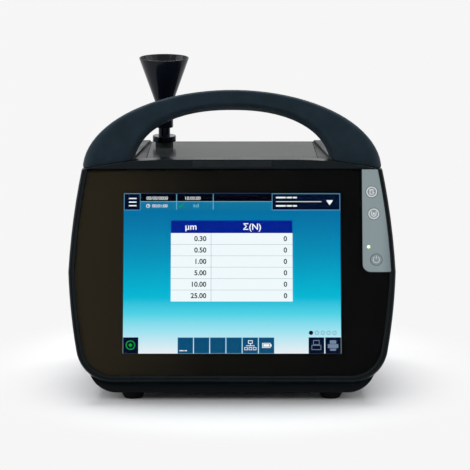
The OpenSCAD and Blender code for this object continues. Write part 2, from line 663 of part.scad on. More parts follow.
// ---- Battery, its door and its bay ----------------------------------------------
hinge_x = door_low[0] - 2.6;   // axis of the door's hinge
hinge_out = 2.9;               // how far that axis lies behind the panel
knuckle_r = 2.6;
pin_r = 1.2;
door_knuckles = [[54, 63.7], [84.3, 94]];
fixed_knuckle = [64, 84];
module battery_door() color([0.09, 0.10, 0.12]) in_case() difference() {
    union() {
        difference() {
            box_from([door_low[0] + 0.4, panel_y + gap, door_low[1]],
                [door_high[0], panel_y + gap + door_t, door_high[1]]);
            // shallow finger recess along the free edge
            translate([door_high[0] - 6, panel_y + gap + door_t + 3, (door_low[1] + door_high[1]) / 2])
                cylinder(r = 4.5, h = 26, center = true);
        }
        for (k = door_knuckles) {
            translate([hinge_x, panel_y + hinge_out, k[0]]) cylinder(r = knuckle_r, h = k[1] - k[0]);
            box_from([hinge_x, panel_y + 1.4, k[0]], [door_low[0] + 1, panel_y + gap + door_t, k[1]]);
        }
    }
    translate([hinge_x, panel_y + hinge_out, door_low[1]])
            cylinder(r = pin_r + 0.06, h = door_high[1] - door_low[1]);
}
module door_hinge() color([0.35, 0.36, 0.38]) in_case() difference() {
    union() {
        translate([hinge_x, panel_y + hinge_out, fixed_knuckle[0]])
            cylinder(r = knuckle_r, h = fixed_knuckle[1] - fixed_knuckle[0]);
        box_from([hinge_x - 6, panel_y, fixed_knuckle[0]],
            [hinge_x + 0.5, panel_y + 1.4, fixed_knuckle[1]]);
    }
    translate([hinge_x, panel_y + hinge_out, door_low[1]])
            cylinder(r = pin_r, h = door_high[1] - door_low[1]);
}
module hinge_pin() color("silver") in_case()
    translate([hinge_x, panel_y + hinge_out, door_knuckles[0][0] - 0.5])
        cylinder(r = pin_r, h = door_knuckles[1][1] - door_knuckles[0][0] + 1);
bay_t = 1.2;
pack_gap = 0.5;
bay_low = door_low + [bay_margin, bay_margin];      // inner corner of the bay
bay_high = door_high - [bay_margin, bay_margin];
bay_front = 126;
module battery_bay() color([0.6, 0.61, 0.63]) in_case() {
    difference() {
        box_from([bay_low[0] - bay_t, bay_front, bay_low[1] - bay_t],
            [bay_high[0] + bay_t, panel_y - panel_t, bay_high[1] + bay_t]);
        box_from([bay_low[0], bay_front + bay_t, bay_low[1]], [bay_high[0], case_d, bay_high[1]]);
    }
    for (x = [bay_low[0] - bay_t, bay_high[0]])
        box_from([x, bay_front, chassis_z + chassis_t], [x + bay_t, chassis[1][1], bay_low[1]]);
}
module battery_pack() color([0.12, 0.13, 0.15]) in_case()
    box_from([bay_low[0] + pack_gap, bay_front + bay_t + pack_gap, bay_low[1]],
        [bay_high[0] - pack_gap, panel_y - pack_gap, bay_high[1] - pack_gap]);

// ---- Chassis and boards -----------------------------------------------------------
power_board_at = [8, 44];      // front left corner of the power board
power_board_size = [76, 32];
power_z = 24;
board_holes = [for (x = [4, power_board_size[0] - 4], y = [4, power_board_size[1] - 4])
    power_board_at + [x, y]];
module chassis_plate() color([0.65, 0.66, 0.68]) in_case() difference() {
    box_from([chassis[0][0], chassis[0][1], chassis_z], [chassis[1][0], chassis[1][1], chassis_z + chassis_t]);
    at_points(chassis_points) cylinder(r = 2.1, h = 30);
}
module chassis_screws() color("silver") in_case() at_points(chassis_points) {
    translate([0, 0, chassis_z + chassis_t]) cylinder(r = 3.5, h = 2.4);
    translate([0, 0, case_z + 3]) cylinder(r = 1.6, h = chassis_z + chassis_t - case_z - 3 + eps);
}
main_board_n = seat_n - module_t - 8;    // front of the main board
main_w = 190;
main_h = 130;
standoff_points = [for (x = [-1, 1], y = [-1, 1]) [x * (main_w / 2 - 6), screen_mid + y * (main_h / 2 - 6)]];
module main_board() color([0.05, 0.3, 0.15]) on_face() {
    layer(main_board_n - board_t, main_board_n) window_shape(main_w, main_h);
    chips = [[-50, 100, 28, 28, 6], [10, 120, 34, 20, 4], [55, 90, 20, 30, 3], [-20, 70, 40, 12, 7]];
    for (c = chips) translate([c[0], c[1], main_board_n - board_t - c[4]]) cube([c[2], c[3], c[4] + eps]);
}
module power_board() color([0.10, 0.25, 0.12]) in_case()
    translate([power_board_at[0], power_board_at[1], power_z]) {
        cube([power_board_size[0], power_board_size[1], board_t]);
        for (x = [14, 28]) translate([x, 16, board_t - eps]) cylinder(r = 6, h = 20);
        translate([38, 5, board_t - eps]) cube([18, 22, 20]);
        translate([60, 9, board_t - eps]) cube([11, 14, 12]);
    }
// Turned spacers of both boards
module standoffs() color("gold") {
    on_face() for (p = standoff_points) translate([p[0], p[1], main_board_n])
        cylinder(r = 2.8, h = seat_n - module_t - main_board_n);
    in_case() at_points(board_holes) translate([0, 0, chassis_z + chassis_t])
        cylinder(r = 3, h = power_z - chassis_z - chassis_t);
}

// ---- Optical sensor -----------------------------------------------------------------
sensor_low = [-probe_x - 28, probe_y - 26, 128];
sensor_high = [-probe_x + 28, probe_y + 26, 172];
sensor_top = sensor_high[2];
beam_z = 150;                  // height of the laser beam, across the air stream
module sensor_block() color([0.5, 0.51, 0.53]) in_case() difference() {
    box_from(sensor_low, sensor_high);
    translate([-probe_x, probe_y, 100]) cylinder(r = flow_r, h = 100);
    translate([-probe_x, probe_y, beam_z]) sphere(r = 14);
    rod_y(-probe_x, sensor_low[1] - cut, beam_z, 4, 60);
    translate([sensor_low[0] - cut, probe_y, beam_z]) rotate([0, 90, 0]) cylinder(r = 9, h = 60);
}
module sensor_posts() color("gold") in_case()
    for (x = [sensor_low[0] + 18, sensor_high[0] - 10], y = [sensor_low[1] + 3.5, sensor_high[1] - 3.5])
        translate([x, y, bay_high[1] + bay_t]) cylinder(r = 3, h = sensor_low[2] - bay_high[1] - bay_t);
module laser_module() color([0.15, 0.15, 0.17]) in_case() {
    rod_y(-probe_x, sensor_low[1] - 34, beam_z, 9, 34);
    rod_y(-probe_x, sensor_low[1] - 4, beam_z, 13, 4);
}
module beam_dump() color([0.1, 0.1, 0.1]) in_case() rod_y(-probe_x, sensor_high[1], beam_z, 8, 4);
module detector_board() color([0.05, 0.3, 0.15]) in_case() {
    box_from([sensor_high[0], probe_y - 15, beam_z - 18],
        [sensor_high[0] + board_t, probe_y + 15, beam_z + 18]);
    translate([sensor_high[0] + board_t - eps, probe_y, beam_z]) rotate([0, 90, 0]) cylinder(r = 6, h = 4);
}
module mirror_housing() color([0.4, 0.41, 0.43]) in_case()
    translate([sensor_low[0] - 8, probe_y, beam_z]) rotate([0, 90, 0]) cylinder(r = 14, h = 8);

// ---- Blower, filter and air lines ---------------------------------------------------
blower_at = [56, 124];
blower_r = 42;
blower_z = chassis_z + chassis_t + 1;
blower_h = 36;
duct_y = 92;
duct_r = 8;
duct_z = 36;
duct_x = 12;                   // mouth of the blower's outlet duct
line_r = 8;                    // outer radius of the sample line
line_bore = 6;
blower_wall = 2;
module blower_housing() color([0.13, 0.14, 0.16]) in_case() difference() {
    union() {
        translate([blower_at[0], blower_at[1], blower_z]) cylinder(r = blower_r, h = blower_h, $fn = 96);
        translate([duct_x, duct_y, duct_z]) rotate([0, 90, 0])
            cylinder(r = duct_r + 1.5, h = blower_at[0] - duct_x);
        for (a = [60 : 120 : 300]) translate([blower_at[0] + (blower_r + 3) * cos(a),
            blower_at[1] + (blower_r + 3) * sin(a), chassis_z + chassis_t]) cylinder(r = 6, h = 5);
    }
    translate([blower_at[0], blower_at[1], blower_z + blower_wall])
        cylinder(r = blower_r - 3, h = blower_h - 2 * blower_wall, $fn = 96);
    translate([blower_at[0], blower_at[1], blower_z]) cylinder(r = line_bore + 6, h = 60);
    translate([blower_at[0], blower_at[1], blower_z - cut]) cylinder(r = 3.4, h = 10);
    translate([duct_x - cut, duct_y, duct_z]) rotate([0, 90, 0])
        cylinder(r = duct_r - 2, h = blower_at[0] - duct_x - 6);
}
impeller_r = 34;
impeller_z = blower_z + blower_wall + 11;
module impeller() color([0.8, 0.8, 0.78]) in_case() translate([blower_at[0], blower_at[1], impeller_z]) {
    difference() {
        union() {
            cylinder(r = impeller_r, h = 2);
            cylinder(r = 9, h = 10);
            for (i = [0 : 8]) rotate(40 * i) translate([8, 0, 1]) rotate(-24)
                translate([0, -0.8, 0]) cube([26, 1.6, 12]);
        }
        translate([0, 0, -cut]) cylinder(r = 2.05, h = 9);
    }
}
module blower_motor() color([0.2, 0.2, 0.22]) in_case() translate([blower_at[0], blower_at[1], 0]) {
    translate([0, 0, blower_z + blower_wall]) cylinder(r = 14, h = 10);
    translate([0, 0, blower_z + blower_wall + 10 - eps]) cylinder(r = 2, h = 7);
    translate([0, 0, chassis_z + chassis_t]) cylinder(r = 3.2, h = 4);
}
filter_at = [-25, 92];
filter_r = 26;
filter_top = 104;
module hepa_filter() color([0.85, 0.86, 0.88]) in_case() translate([filter_at[0], filter_at[1], 0]) {
    translate([0, 0, chassis_z + chassis_t]) cylinder(r = filter_r, h = filter_top - chassis_z - chassis_t);
    for (z = [chassis_z + chassis_t, filter_top - 8]) translate([0, 0, z]) cylinder(r = filter_r + 1.5, h = 8);
}
// A pipe from one upright end to another: down or up, across, and down or up again
module elbow(r, bore, bend) rotate_extrude(angle = 90) translate([bend, 0]) difference() {
    circle(r);
    circle(bore);
}
module pipe(l, r, bore) difference() {
    cylinder(r = r, h = l);
    translate([0, 0, -cut]) cylinder(r = bore, h = l + 2 * cut);
}
sample_z = 114;
sample_bend = 14;
module sample_tube() color([0.2, 0.45, 0.6]) in_case() {
    a = [-probe_x, probe_y];
    run = norm(blower_at - a);
    top = blower_z + blower_h;
    translate([a[0], a[1], 0]) rotate(atan2(blower_at[1] - a[1], blower_at[0] - a[0])) {
        translate([0, 0, sample_z + sample_bend])
            pipe(sensor_low[2] - sample_z - sample_bend, line_r, line_bore);
        translate([sample_bend, 0, sample_z + sample_bend]) rotate([90, 0, 0]) rotate([0, 0, 180])
            elbow(line_r, line_bore, sample_bend);
        translate([sample_bend, 0, sample_z]) rotate([0, 90, 0]) pipe(run - 2 * sample_bend, line_r, line_bore);
        translate([run - sample_bend, 0, sample_z - sample_bend]) rotate([90, 0, 0])
            elbow(line_r, line_bore, sample_bend);
        translate([run, 0, top]) pipe(sample_z - sample_bend - top, line_r, line_bore);
    }
}
module outlet_tube() color([0.2, 0.45, 0.6]) in_case() {
    from = filter_at[0] + filter_r;
    translate([from, duct_y, duct_z]) rotate([0, 90, 0]) pipe(duct_x - from, duct_r, duct_r - 2);
}
exhaust_bend = 14;
exhaust_r = 6;
module exhaust_tube() color([0.2, 0.45, 0.6]) in_case() translate([exhaust_at[0], 0, 0]) {
    rear = panel_y - 14;
    translate([0, filter_at[1], filter_top])
        pipe(exhaust_at[1] - exhaust_bend - filter_top, exhaust_r, exhaust_r - 1.5);
    translate([0, filter_at[1] + exhaust_bend, exhaust_at[1] - exhaust_bend]) rotate([0, 0, 180])
        rotate([0, -90, 0]) elbow(exhaust_r, exhaust_r - 1.5, exhaust_bend);
    translate([0, filter_at[1] + exhaust_bend, exhaust_at[1]]) rotate([-90, 0, 0])
        pipe(rear - filter_at[1] - exhaust_bend, exhaust_r, exhaust_r - 1.5);
}

front_bezel();
cover_glass();
glass_mask();
display_frame();
display_panel();
keypad_panel();
start_key();
menu_key();
power_key();
status_led();
keypad_board();
handle();
handle_screws();
rear_housing();
bezel_screws();
top_panel();
foot_front_left();
foot_front_right();
foot_rear_left();
foot_rear_right();
foot_screws();
inlet_fitting();
inlet_nut();
inlet_tube();
isokinetic_probe();
probe_o_ring();
rear_panel();
panel_screws();
fan_frame();
fan_rotor();
fan_guard();
fan_screws();
exhaust_fitting();
dc_inlet();
ethernet_socket();
usb_socket();
battery_door();
door_hinge();
hinge_pin();
battery_pack();
battery_bay();
chassis_plate();
chassis_screws();
main_board();
standoffs();
power_board();
sensor_block();
sensor_posts();
laser_module();
beam_dump();
detector_board();
mirror_housing();
blower_housing();
impeller();
blower_motor();
hepa_filter();
sample_tube();
outlet_tube();
exhaust_tube();
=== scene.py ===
# %% [markdown]
# # A portable airborne particle counter
# The counter is a black moulded case with a touch screen that leans back, an
# arched handle and a flared air probe.  Its solid parts come ready made from the
# packed CAD model, in metres, with X to the right, Y to the rear and Z up.  This
# lesson dresses them: it eases their edges, draws the screen's picture, and gives
# every piece a finish worked out in nodes.

# %% Load the solid parts
import math

import bmesh
import bpy
from mathutils import Matrix, Vector


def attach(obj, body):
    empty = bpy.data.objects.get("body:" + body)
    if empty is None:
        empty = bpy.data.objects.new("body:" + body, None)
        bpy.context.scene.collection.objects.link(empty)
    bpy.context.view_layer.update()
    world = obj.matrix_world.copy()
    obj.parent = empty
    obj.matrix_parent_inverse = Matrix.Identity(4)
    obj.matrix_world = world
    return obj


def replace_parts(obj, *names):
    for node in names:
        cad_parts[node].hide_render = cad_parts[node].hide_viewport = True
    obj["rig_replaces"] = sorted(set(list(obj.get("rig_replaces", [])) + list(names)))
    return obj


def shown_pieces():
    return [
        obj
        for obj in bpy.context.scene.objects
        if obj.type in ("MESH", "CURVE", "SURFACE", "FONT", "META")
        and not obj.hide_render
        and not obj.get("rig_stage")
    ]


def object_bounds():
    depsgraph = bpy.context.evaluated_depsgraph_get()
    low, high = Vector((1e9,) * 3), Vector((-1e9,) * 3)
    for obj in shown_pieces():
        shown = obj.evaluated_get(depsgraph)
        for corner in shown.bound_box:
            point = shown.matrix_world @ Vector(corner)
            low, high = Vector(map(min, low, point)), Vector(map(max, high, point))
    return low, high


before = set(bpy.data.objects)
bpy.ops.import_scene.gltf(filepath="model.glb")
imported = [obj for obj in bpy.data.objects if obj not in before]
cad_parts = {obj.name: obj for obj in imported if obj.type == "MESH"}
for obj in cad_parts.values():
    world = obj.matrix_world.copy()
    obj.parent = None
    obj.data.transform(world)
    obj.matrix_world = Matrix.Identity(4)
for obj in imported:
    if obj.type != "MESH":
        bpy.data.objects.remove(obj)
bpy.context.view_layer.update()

# %% [markdown]
# ## Two places to draw in
# Pieces are drawn in millimetres, either in the case's own frame or in the face's:
# X to the right, Y up the slope of the glass and Z out of it.  One matrix takes the
# face's frame to the model's, so a piece that is drawn flat lands on the slope.
# Where a piece has to meet a solid part, the part is measured in either frame.

# %% Frames and the function that finishes a piece
MM = 0.001                                   # metres in a millimetre
TILT = math.radians(23)                      # lean of the face, back from upright
FACE_FOOT = Vector((0, -117.25, 18.5))       # bottom edge of the glass surface
ON_FACE = Matrix.Translation(FACE_FOOT) @ Matrix.Rotation(math.pi / 2 - TILT, 4, "X")
UPRIGHT = Matrix.Identity(4)


def extent(node, place=UPRIGHT):
    """Lowest and highest corner of a solid part, in millimetres, in the frame of `place`."""
    spots = [place.inverted() @ (v.co / MM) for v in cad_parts[node].data.vertices]
    return [[round(pick(s[i] for s in spots), 3) for i in range(3)] for pick in (min, max)]


REAR_Y = extent("rear_panel")[1][1]          # outer side of the rear panel


def on_rear(x, z, y=REAR_Y):
    """A place on the rear panel, with Z pointing out of it."""
    return Matrix.Translation((x, y, z)) @ Matrix.Rotation(-math.pi / 2, 4, "X")


def settle(bm, name, place, finish, body="counter", slot=None, replaces=(), sharp=32):
    """Makes a mesh drawn in millimetres a piece of the counter that rides on a body.

    Edges that turn by more than `sharp` degrees stay sharp; 0 shades every face flat.
    """
    bm.transform(Matrix.Scale(MM, 4) @ place)
    mesh = bpy.data.meshes.new(name)
    bm.to_mesh(mesh)
    bm.free()
    if "custom_normal" in mesh.attributes:      # a copy's old normals no longer fit it
        mesh.attributes.remove(mesh.attributes["custom_normal"])
    if sharp:
        mesh.shade_smooth()
        mesh.set_sharp_from_angle(angle=math.radians(sharp))
    else:
        mesh.shade_flat()
    piece = bpy.data.objects.new(name, mesh)
    bpy.context.scene.collection.objects.link(piece)
    mesh.materials.append(finish)
    if replaces:
        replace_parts(piece, *replaces)
    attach(piece, body)
    return piece


print("face frame turns", round(90 - math.degrees(TILT)), "degrees about X, rear panel at", REAR_Y)

# %% [markdown]
# ## Shader sums
# A finish is easier to read as a sum than as a web of nodes.  A small class wraps a
# socket and overloads the operators, so that `1 - mask` adds its own Math node.
# Another holds the material and adds any other node by its type.

# %% A socket that can be added and multiplied
class Value:
    """A number that varies over a surface."""

    def __init__(self, finish, socket):
        self.finish, self.socket = finish, socket

    def _sum(self, operation, other, swapped=False):
        pair = (other, self) if swapped else (self, other)
        return self.finish.node("ShaderNodeMath", {"operation": operation}, {0: pair[0], 1: pair[1]})

    def __add__(self, other):
        return self._sum("ADD", other)

    def __sub__(self, other):
        return self._sum("SUBTRACT", other)

    def __rsub__(self, other):
        return self._sum("SUBTRACT", other, True)

    def __mul__(self, other):
        return self._sum("MULTIPLY", other)

    __radd__ = __add__
    __rmul__ = __mul__


print("sums:", [name for name in vars(Value) if name.startswith("__r")])

# %% A material and its nodes
class Finish:
    """A material and the nodes that feed its shader."""

    def __init__(self, name, colour, roughness, **fixed):
        self.material = bpy.data.materials.new(name)
        self.material.use_nodes = True
        self.tree = self.material.node_tree
        self.shader = self.tree.nodes["Principled BSDF"]
        self.shader.inputs["Base Color"].default_value = (*colour, 1)
        self.shader.inputs["Roughness"].default_value = roughness
        for key, value in fixed.items():
            self.shader.inputs[key.replace("_", " ")].default_value = value
        self.place = self.node("ShaderNodeTexCoord", out="Object")

    def node(self, kind, settings=None, inputs=None, out=0):
        """Adds a node by its type; each input takes a number, a colour or a Value."""
        made = self.tree.nodes.new(kind)
        for key, value in (settings or {}).items():
            if key == "stops":
                ramp = made.color_ramp
                while len(ramp.elements) < len(value):
                    ramp.elements.new(0.5)
                for element, (at, colour) in zip(ramp.elements, value):
                    element.position, element.color = at, (*colour, 1)
            else:
                setattr(made, key, value)
        for key, value in (inputs or {}).items():
            if isinstance(value, Value):
                self.tree.links.new(value.socket, made.inputs[key])
            else:
                made.inputs[key].default_value = value
        return Value(self, made.outputs[out])

    def feed(self, **links):
        """Links values to the shader's own sockets and gives back the material."""
        for key, value in links.items():
            self.tree.links.new(value.socket, self.shader.inputs[key.replace("_", " ")])
        return self.material

    def noise(self, per_metre, detail=3, rough=0.5):
        return self.node("ShaderNodeTexNoise", inputs={
            "Vector": self.place, "Scale": per_metre, "Detail": detail, "Roughness": rough})

    def spread(self, value, low, high, to_low, to_high):
        """Maps one range to another and holds the ends."""
        return self.node("ShaderNodeMapRange", {"clamp": True}, {
            "Value": value, "From Min": low, "From Max": high, "To Min": to_low, "To Max": to_high})

    def mix(self, mask, one, other):
        return self.node("ShaderNodeMix", {"data_type": "RGBA"}, {0: mask, 6: one, 7: other}, out=2)

    def bump(self, height, depth_mm):
        return self.node("ShaderNodeBump", inputs={
            "Height": height, "Distance": depth_mm * MM, "Strength": 1.0})

    def along(self, axis):
        """The place along X (0), Y (1) or Z (2), in metres."""
        parts = self.tree.nodes.new("ShaderNodeSeparateXYZ")
        self.tree.links.new(self.place.socket, parts.inputs[0])
        return Value(self, parts.outputs[axis])


print("feeds:", [name for name in vars(Finish) if not name.startswith("_")])

# %% [markdown]
# ## Moulded plastics
# The case, the bezel and the handle are spark-eroded mouldings: a fine even grain
# breaks the gloss, and handling polishes it a little in patches.  Grain is a fine
# noise in the bump, and the patches a coarse noise in the roughness and colour.
# Paint, anodising and the boards' lacquer are made the same way.

# %% Moulded plastics
def moulded(name, colour, gloss, grain_mm=0.012, per_metre=3200, patch=0.06, tone=0.18, **fixed):
    """Plastic with a bump grain, patches of wear and a slight change of tone."""
    finish = Finish(name, colour, gloss, **fixed)
    grain = finish.noise(per_metre, 2)
    patches = finish.noise(28, 4)
    worn = finish.spread(patches, 0.35, 0.65, -patch, patch)
    shade = finish.spread(finish.noise(55, 5), 0.3, 0.7, 0, 1)
    light = tuple(min(1, c * (1 + tone)) for c in colour)
    dark = tuple(c * (1 - tone) for c in colour)
    return finish.feed(
        Base_Color=finish.mix(shade, (*dark, 1), (*light, 1)),
        Roughness=worn + gloss,
        Normal=finish.bump(grain, grain_mm))


bezel_plastic = moulded("bezel_plastic", (0.0014, 0.0052, 0.0070), 0.26, 0.005,
    Specular_IOR_Level=0.06, Coat_Weight=0.15)
case_plastic = moulded("case_plastic", (0.0028, 0.0052, 0.0070), 0.32, 0.010, Specular_IOR_Level=0.07)
handle_plastic = moulded("handle_plastic", (0.017, 0.029, 0.040), 0.42, 0.010, Specular_IOR_Level=0.05)
plate_plastic = moulded("plate_plastic", (0.018, 0.021, 0.024), 0.30, 0.003, Specular_IOR_Level=0.06)
top_plastic = moulded("top_plastic", (0.030, 0.035, 0.034), 0.17, 0.002, 2600, 0.02, 0.04,
    Specular_IOR_Level=0.03)
fan_plastic = moulded("fan_plastic", (0.012, 0.012, 0.013), 0.45, 0.010, Specular_IOR_Level=0.1)
rubber = moulded("rubber", (0.006, 0.006, 0.006), 0.72, 0.030, 1800, tone=0.3, Specular_IOR_Level=0.06)
battery_wrap = moulded("battery_wrap", (0.015, 0.020, 0.030), 0.35, 0.008)
white_plastic = moulded("white_plastic", (0.72, 0.72, 0.70), 0.45, 0.010, tone=0.03)
blue_hose = moulded("blue_hose", (0.04, 0.18, 0.34), 0.30, 0.004, tone=0.08)
panel_paint = moulded("panel_paint", (0.060, 0.064, 0.070), 0.50, 0.020, 1500, tone=0.10)
black_anodised = moulded("black_anodised", (0.020, 0.020, 0.022), 0.38, 0.003)
board_green = moulded("board_green", (0.015, 0.13, 0.06), 0.30, 0.004)
print("materials so far:", len(bpy.data.materials))

# %% [markdown]
# The keypad has the satin skin of an overlay film, and its keys a slightly darker
# one.  It turns away from the light at the right, so its shade there is painted in:
# two tones are mixed along X, and flecks of noise keep the change from looking drawn.

# %% Keypad film
FILM_FLAT, FILM_EDGE = 146, 159              # millimetres: where the painted shade starts, the case's side


def film(name, colour, edge):
    """Satin overlay film with a painted shade that darkens it softly towards its right edge."""
    finish = Finish(name, colour, 0.42, Specular_IOR_Level=0.1)
    # painted shade, growing where the film turns away from the light
    turned = finish.spread(finish.along(0), FILM_FLAT * MM, FILM_EDGE * MM, 0, 1)
    fleck = finish.spread(finish.noise(420, 4), 0.3, 0.7, -0.06, 0.06)
    tone = finish.mix(turned + fleck, (*colour, 1), (*edge, 1))
    return finish.feed(Base_Color=tone, Normal=finish.bump(finish.noise(5200, 2), 0.004))


# each film's second colour is its painted shade at the right edge
keypad_film = film("keypad_film", (0.374, 0.452, 0.473), (0.215, 0.270, 0.295))
key_film = film("key_film", (0.340, 0.410, 0.435), (0.235, 0.290, 0.315))
power_film = film("power_film", (0.330, 0.400, 0.425), (0.250, 0.305, 0.330))
print("films:", keypad_film.name, key_film.name, power_film.name)

# %% [markdown]
# ## Metals and glass
# Turned steel shows fine rings about its axis, which a wave texture draws; sheet
# metal shows a faint rolled grain.  Both vary a little in tone and gloss, as metal
# that has been handled does.

# %% Metals
def metal(name, colour, gloss, rings=0.0, depth=0.004, **fixed):
    """Metal with a fine grain, or with turning rings about the vertical axis."""
    finish = Finish(name, colour, gloss, Metallic=1.0, **fixed)
    grain = finish.noise(900, 2)
    patches = finish.spread(finish.noise(60, 4), 0.3, 0.7, -0.05, 0.08)
    if rings:
        wave = finish.node("ShaderNodeTexWave", {"wave_type": "BANDS", "bands_direction": "Z"}, {
            "Vector": finish.place, "Scale": rings, "Distortion": 0.4, "Detail": 1.0})
        grain = grain * 0.3 + wave * 0.7
    shade = finish.spread(finish.noise(90, 3), 0.3, 0.7, 0, 1)
    dark = tuple(c * 0.88 for c in colour)
    return finish.feed(
        Base_Color=finish.mix(shade, (*dark, 1), (*colour, 1)),
        Roughness=patches + gloss,
        Normal=finish.bump(grain, depth))


screw_steel = metal("screw_steel", (0.60, 0.60, 0.61), 0.28)
fitting_steel = metal("fitting_steel", (0.50, 0.51, 0.53), 0.20, rings=400)
inlet_steel = metal("inlet_steel", (0.010, 0.012, 0.018), 0.13, rings=190, depth=0.03)
socket_shell = metal("socket_shell", (0.60, 0.61, 0.62), 0.25)
sheet_aluminium = metal("sheet_aluminium", (0.60, 0.61, 0.62), 0.36, depth=0.01)
brass = metal("brass", (0.72, 0.52, 0.20), 0.28, rings=500)
display_metal = metal("display_metal", (0.55, 0.55, 0.56), 0.35)
print("materials so far:", len(bpy.data.materials))

# %% [markdown]
# The probe is steel under a black gloss, which hides the metal, so it is made as a
# dark coated surface.  The cover glass is a dark tinted sheet: it is almost clear, so
# the alpha is low, and it keeps a sharp weak reflection.  The print behind it is
# nearly black, and a ramp along X paints a warm reflection on it towards the left.

# %% Probe, glass and print
REFLECTION_WARM, REFLECTION_GONE = -155, 100           # millimetres: between these the painted reflection fades out


def probe_finish():
    """Black gloss with faint turning rings."""
    finish = Finish("probe_steel", (0.004, 0.006, 0.011), 0.12, Specular_IOR_Level=0.14, Coat_Weight=0.08)
    wave = finish.node("ShaderNodeTexWave", {"wave_type": "BANDS", "bands_direction": "Z"}, {
        "Vector": finish.place, "Scale": 260, "Distortion": 0.2})
    patches = finish.spread(finish.noise(70, 4), 0.3, 0.7, 0.10, 0.17)
    return finish.feed(Roughness=patches, Normal=finish.bump(wave, 0.0008))


probe_steel = probe_finish()


def glass_finish():
    """Nearly clear, with finger smudges that dull its reflection."""
    finish = Finish("cover_glass", (0.003, 0.003, 0.004), 0.04, Alpha=0.15, Specular_IOR_Level=0.14)
    smudge = finish.spread(finish.noise(35, 6, 0.6), 0.45, 0.75, 0.03, 0.12)
    return finish.feed(Roughness=smudge)


cover_glass = glass_finish()


def mask_finish():
    """The black print behind the glass, with a painted warm reflection towards the left."""
    finish = Finish("mask_black", (0.004, 0.004, 0.004), 0.5, Specular_IOR_Level=0)
    # painted reflection: warm at the left, fading to the print's own black at the right
    painted_reflection = finish.spread(finish.along(0), REFLECTION_WARM * MM, REFLECTION_GONE * MM, 0, 1)
    tone = finish.node("ShaderNodeValToRGB", {"stops": [
        (0.0, (0.064, 0.050, 0.026)), (0.5, (0.012, 0.011, 0.007)), (1.0, (0.003, 0.003, 0.003))]},
        {0: painted_reflection})
    return finish.feed(Base_Color=tone)


mask_black = mask_finish()
print("glass and print:", cover_glass.name, mask_black.name)

# %% [markdown]
# ## Dressing the solid parts
# A CAD solid has perfectly sharp edges, and a real moulding has none.  Each outer
# part is copied, its flat triangles are merged, and its sharp edges are bevelled so
# that they catch the light.  Weighted normals then keep the flats beside a bevel
# flat.

# %% Ease the edges of the outer parts
WELD, SLIVER = 0.004, 0.01                   # millimetres: what is closer than these is joined
FLAT = math.radians(0.2)                     # faces that turn by less than this are one flat
SHARP = math.radians(35)                     # edges that turn by more than this are bevelled
SMOOTH = 50                                  # degrees: a bevel's own steps shade as one curve


def copy_of(node):
    """The CAD node as a mesh in millimetres, its loose triangles joined."""
    bm = bmesh.new()
    bm.from_mesh(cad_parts[node].data)
    bmesh.ops.remove_doubles(bm, verts=bm.verts, dist=WELD * MM)
    bm.transform(Matrix.Scale(1 / MM, 4))
    bmesh.ops.dissolve_degenerate(bm, edges=bm.edges, dist=SLIVER)
    bmesh.ops.dissolve_limit(bm, angle_limit=FLAT, verts=bm.verts, edges=bm.edges)
    return bm


def eased(node, finish, slot, width=0.3, segments=2, body="counter"):
    """A dressed copy of a CAD node; its flat faces keep even shading beside the bevels."""
    bm = copy_of(node)
    edges = [e for e in bm.edges if e.is_manifold and e.calc_face_angle(0) > SHARP]
    bmesh.ops.bevel(bm, geom=edges, offset=width, offset_type="OFFSET", affect="EDGES",
        segments=segments, profile=0.5, material=-1, clamp_overlap=False)
    piece = settle(bm, node + "_eased", UPRIGHT, finish, body, slot, [node], SMOOTH)
    even = piece.modifiers.new("even_flats", "WEIGHTED_NORMAL")
    even.keep_sharp = True
    return piece


eased("front_bezel", bezel_plastic, "bezel_plastic", 0.3)
eased("rear_housing", case_plastic, "case_plastic", 0.3)
eased("handle", handle_plastic, "handle_plastic", 0.4)
eased("top_panel", top_plastic, "top_plastic", 0.3)
eased("keypad_panel", keypad_film, "keypad_film", 0.15)
eased("cover_glass", cover_glass, "cover_glass", 0.25)
for key, skin in (("start_key", key_film), ("menu_key", key_film), ("power_key", power_film)):
    eased(key, skin, "keypad_film", 0.25, 3, body=key)
eased("inlet_fitting", inlet_steel, "fitting_steel", 0.35)
for corner in ("front_left", "front_right", "rear_left", "rear_right"):
    eased("foot_" + corner, rubber, "rubber", 0.5, 3)
eased("rear_panel", panel_paint, "panel_paint", 0.25)
eased("battery_door", case_plastic, "case_plastic", 0.35, body="battery_door")
eased("door_hinge", panel_paint, "panel_paint", 0.2)
eased("fan_frame", fan_plastic, "fan_plastic", 0.3)
eased("fan_rotor", fan_plastic, "fan_plastic", 0.15, body="fan")
eased("fan_guard", screw_steel, "screw_steel", 0.25)
eased("exhaust_fitting", fitting_steel, "fitting_steel", 0.35)
eased("dc_inlet", fan_plastic, "fan_plastic", 0.25)
eased("ethernet_socket", socket_shell, "socket_shell", 0.2)
eased("usb_socket", socket_shell, "socket_shell", 0.2)
for piece in list(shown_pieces()):
    if "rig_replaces" in piece:
        print(piece.name, len(piece.data.polygons), "faces")

# %% [markdown]
# The black print touches the back of the glass.  Two faces in one plane would show
# as patches, so the front of the print's copy is drawn back by less than its own
# thickness.

# %% Set the print behind the glass
BEHIND = 0.06
bm = copy_of("glass_mask")
heights = [(ON_FACE.inverted() @ v.co).z for v in bm.verts]
front = [v for v, z in zip(bm.verts, heights) if z > max(heights) - BEHIND / 3]
bmesh.ops.translate(bm, verts=front, vec=ON_FACE.to_3x3() @ Vector((0, 0, -BEHIND)))
print("print:", len(front), "of", len(bm.verts), "vertices drawn back")
settle(bm, "glass_mask_print", UPRIGHT, mask_black, slot="mask_black", replaces=["glass_mask"], sharp=0)

# %% [markdown]
# The boards, the sensor, the hoses and the other parts inside keep their meshes and
# take a finish only, from a table that goes from each finish to its parts.

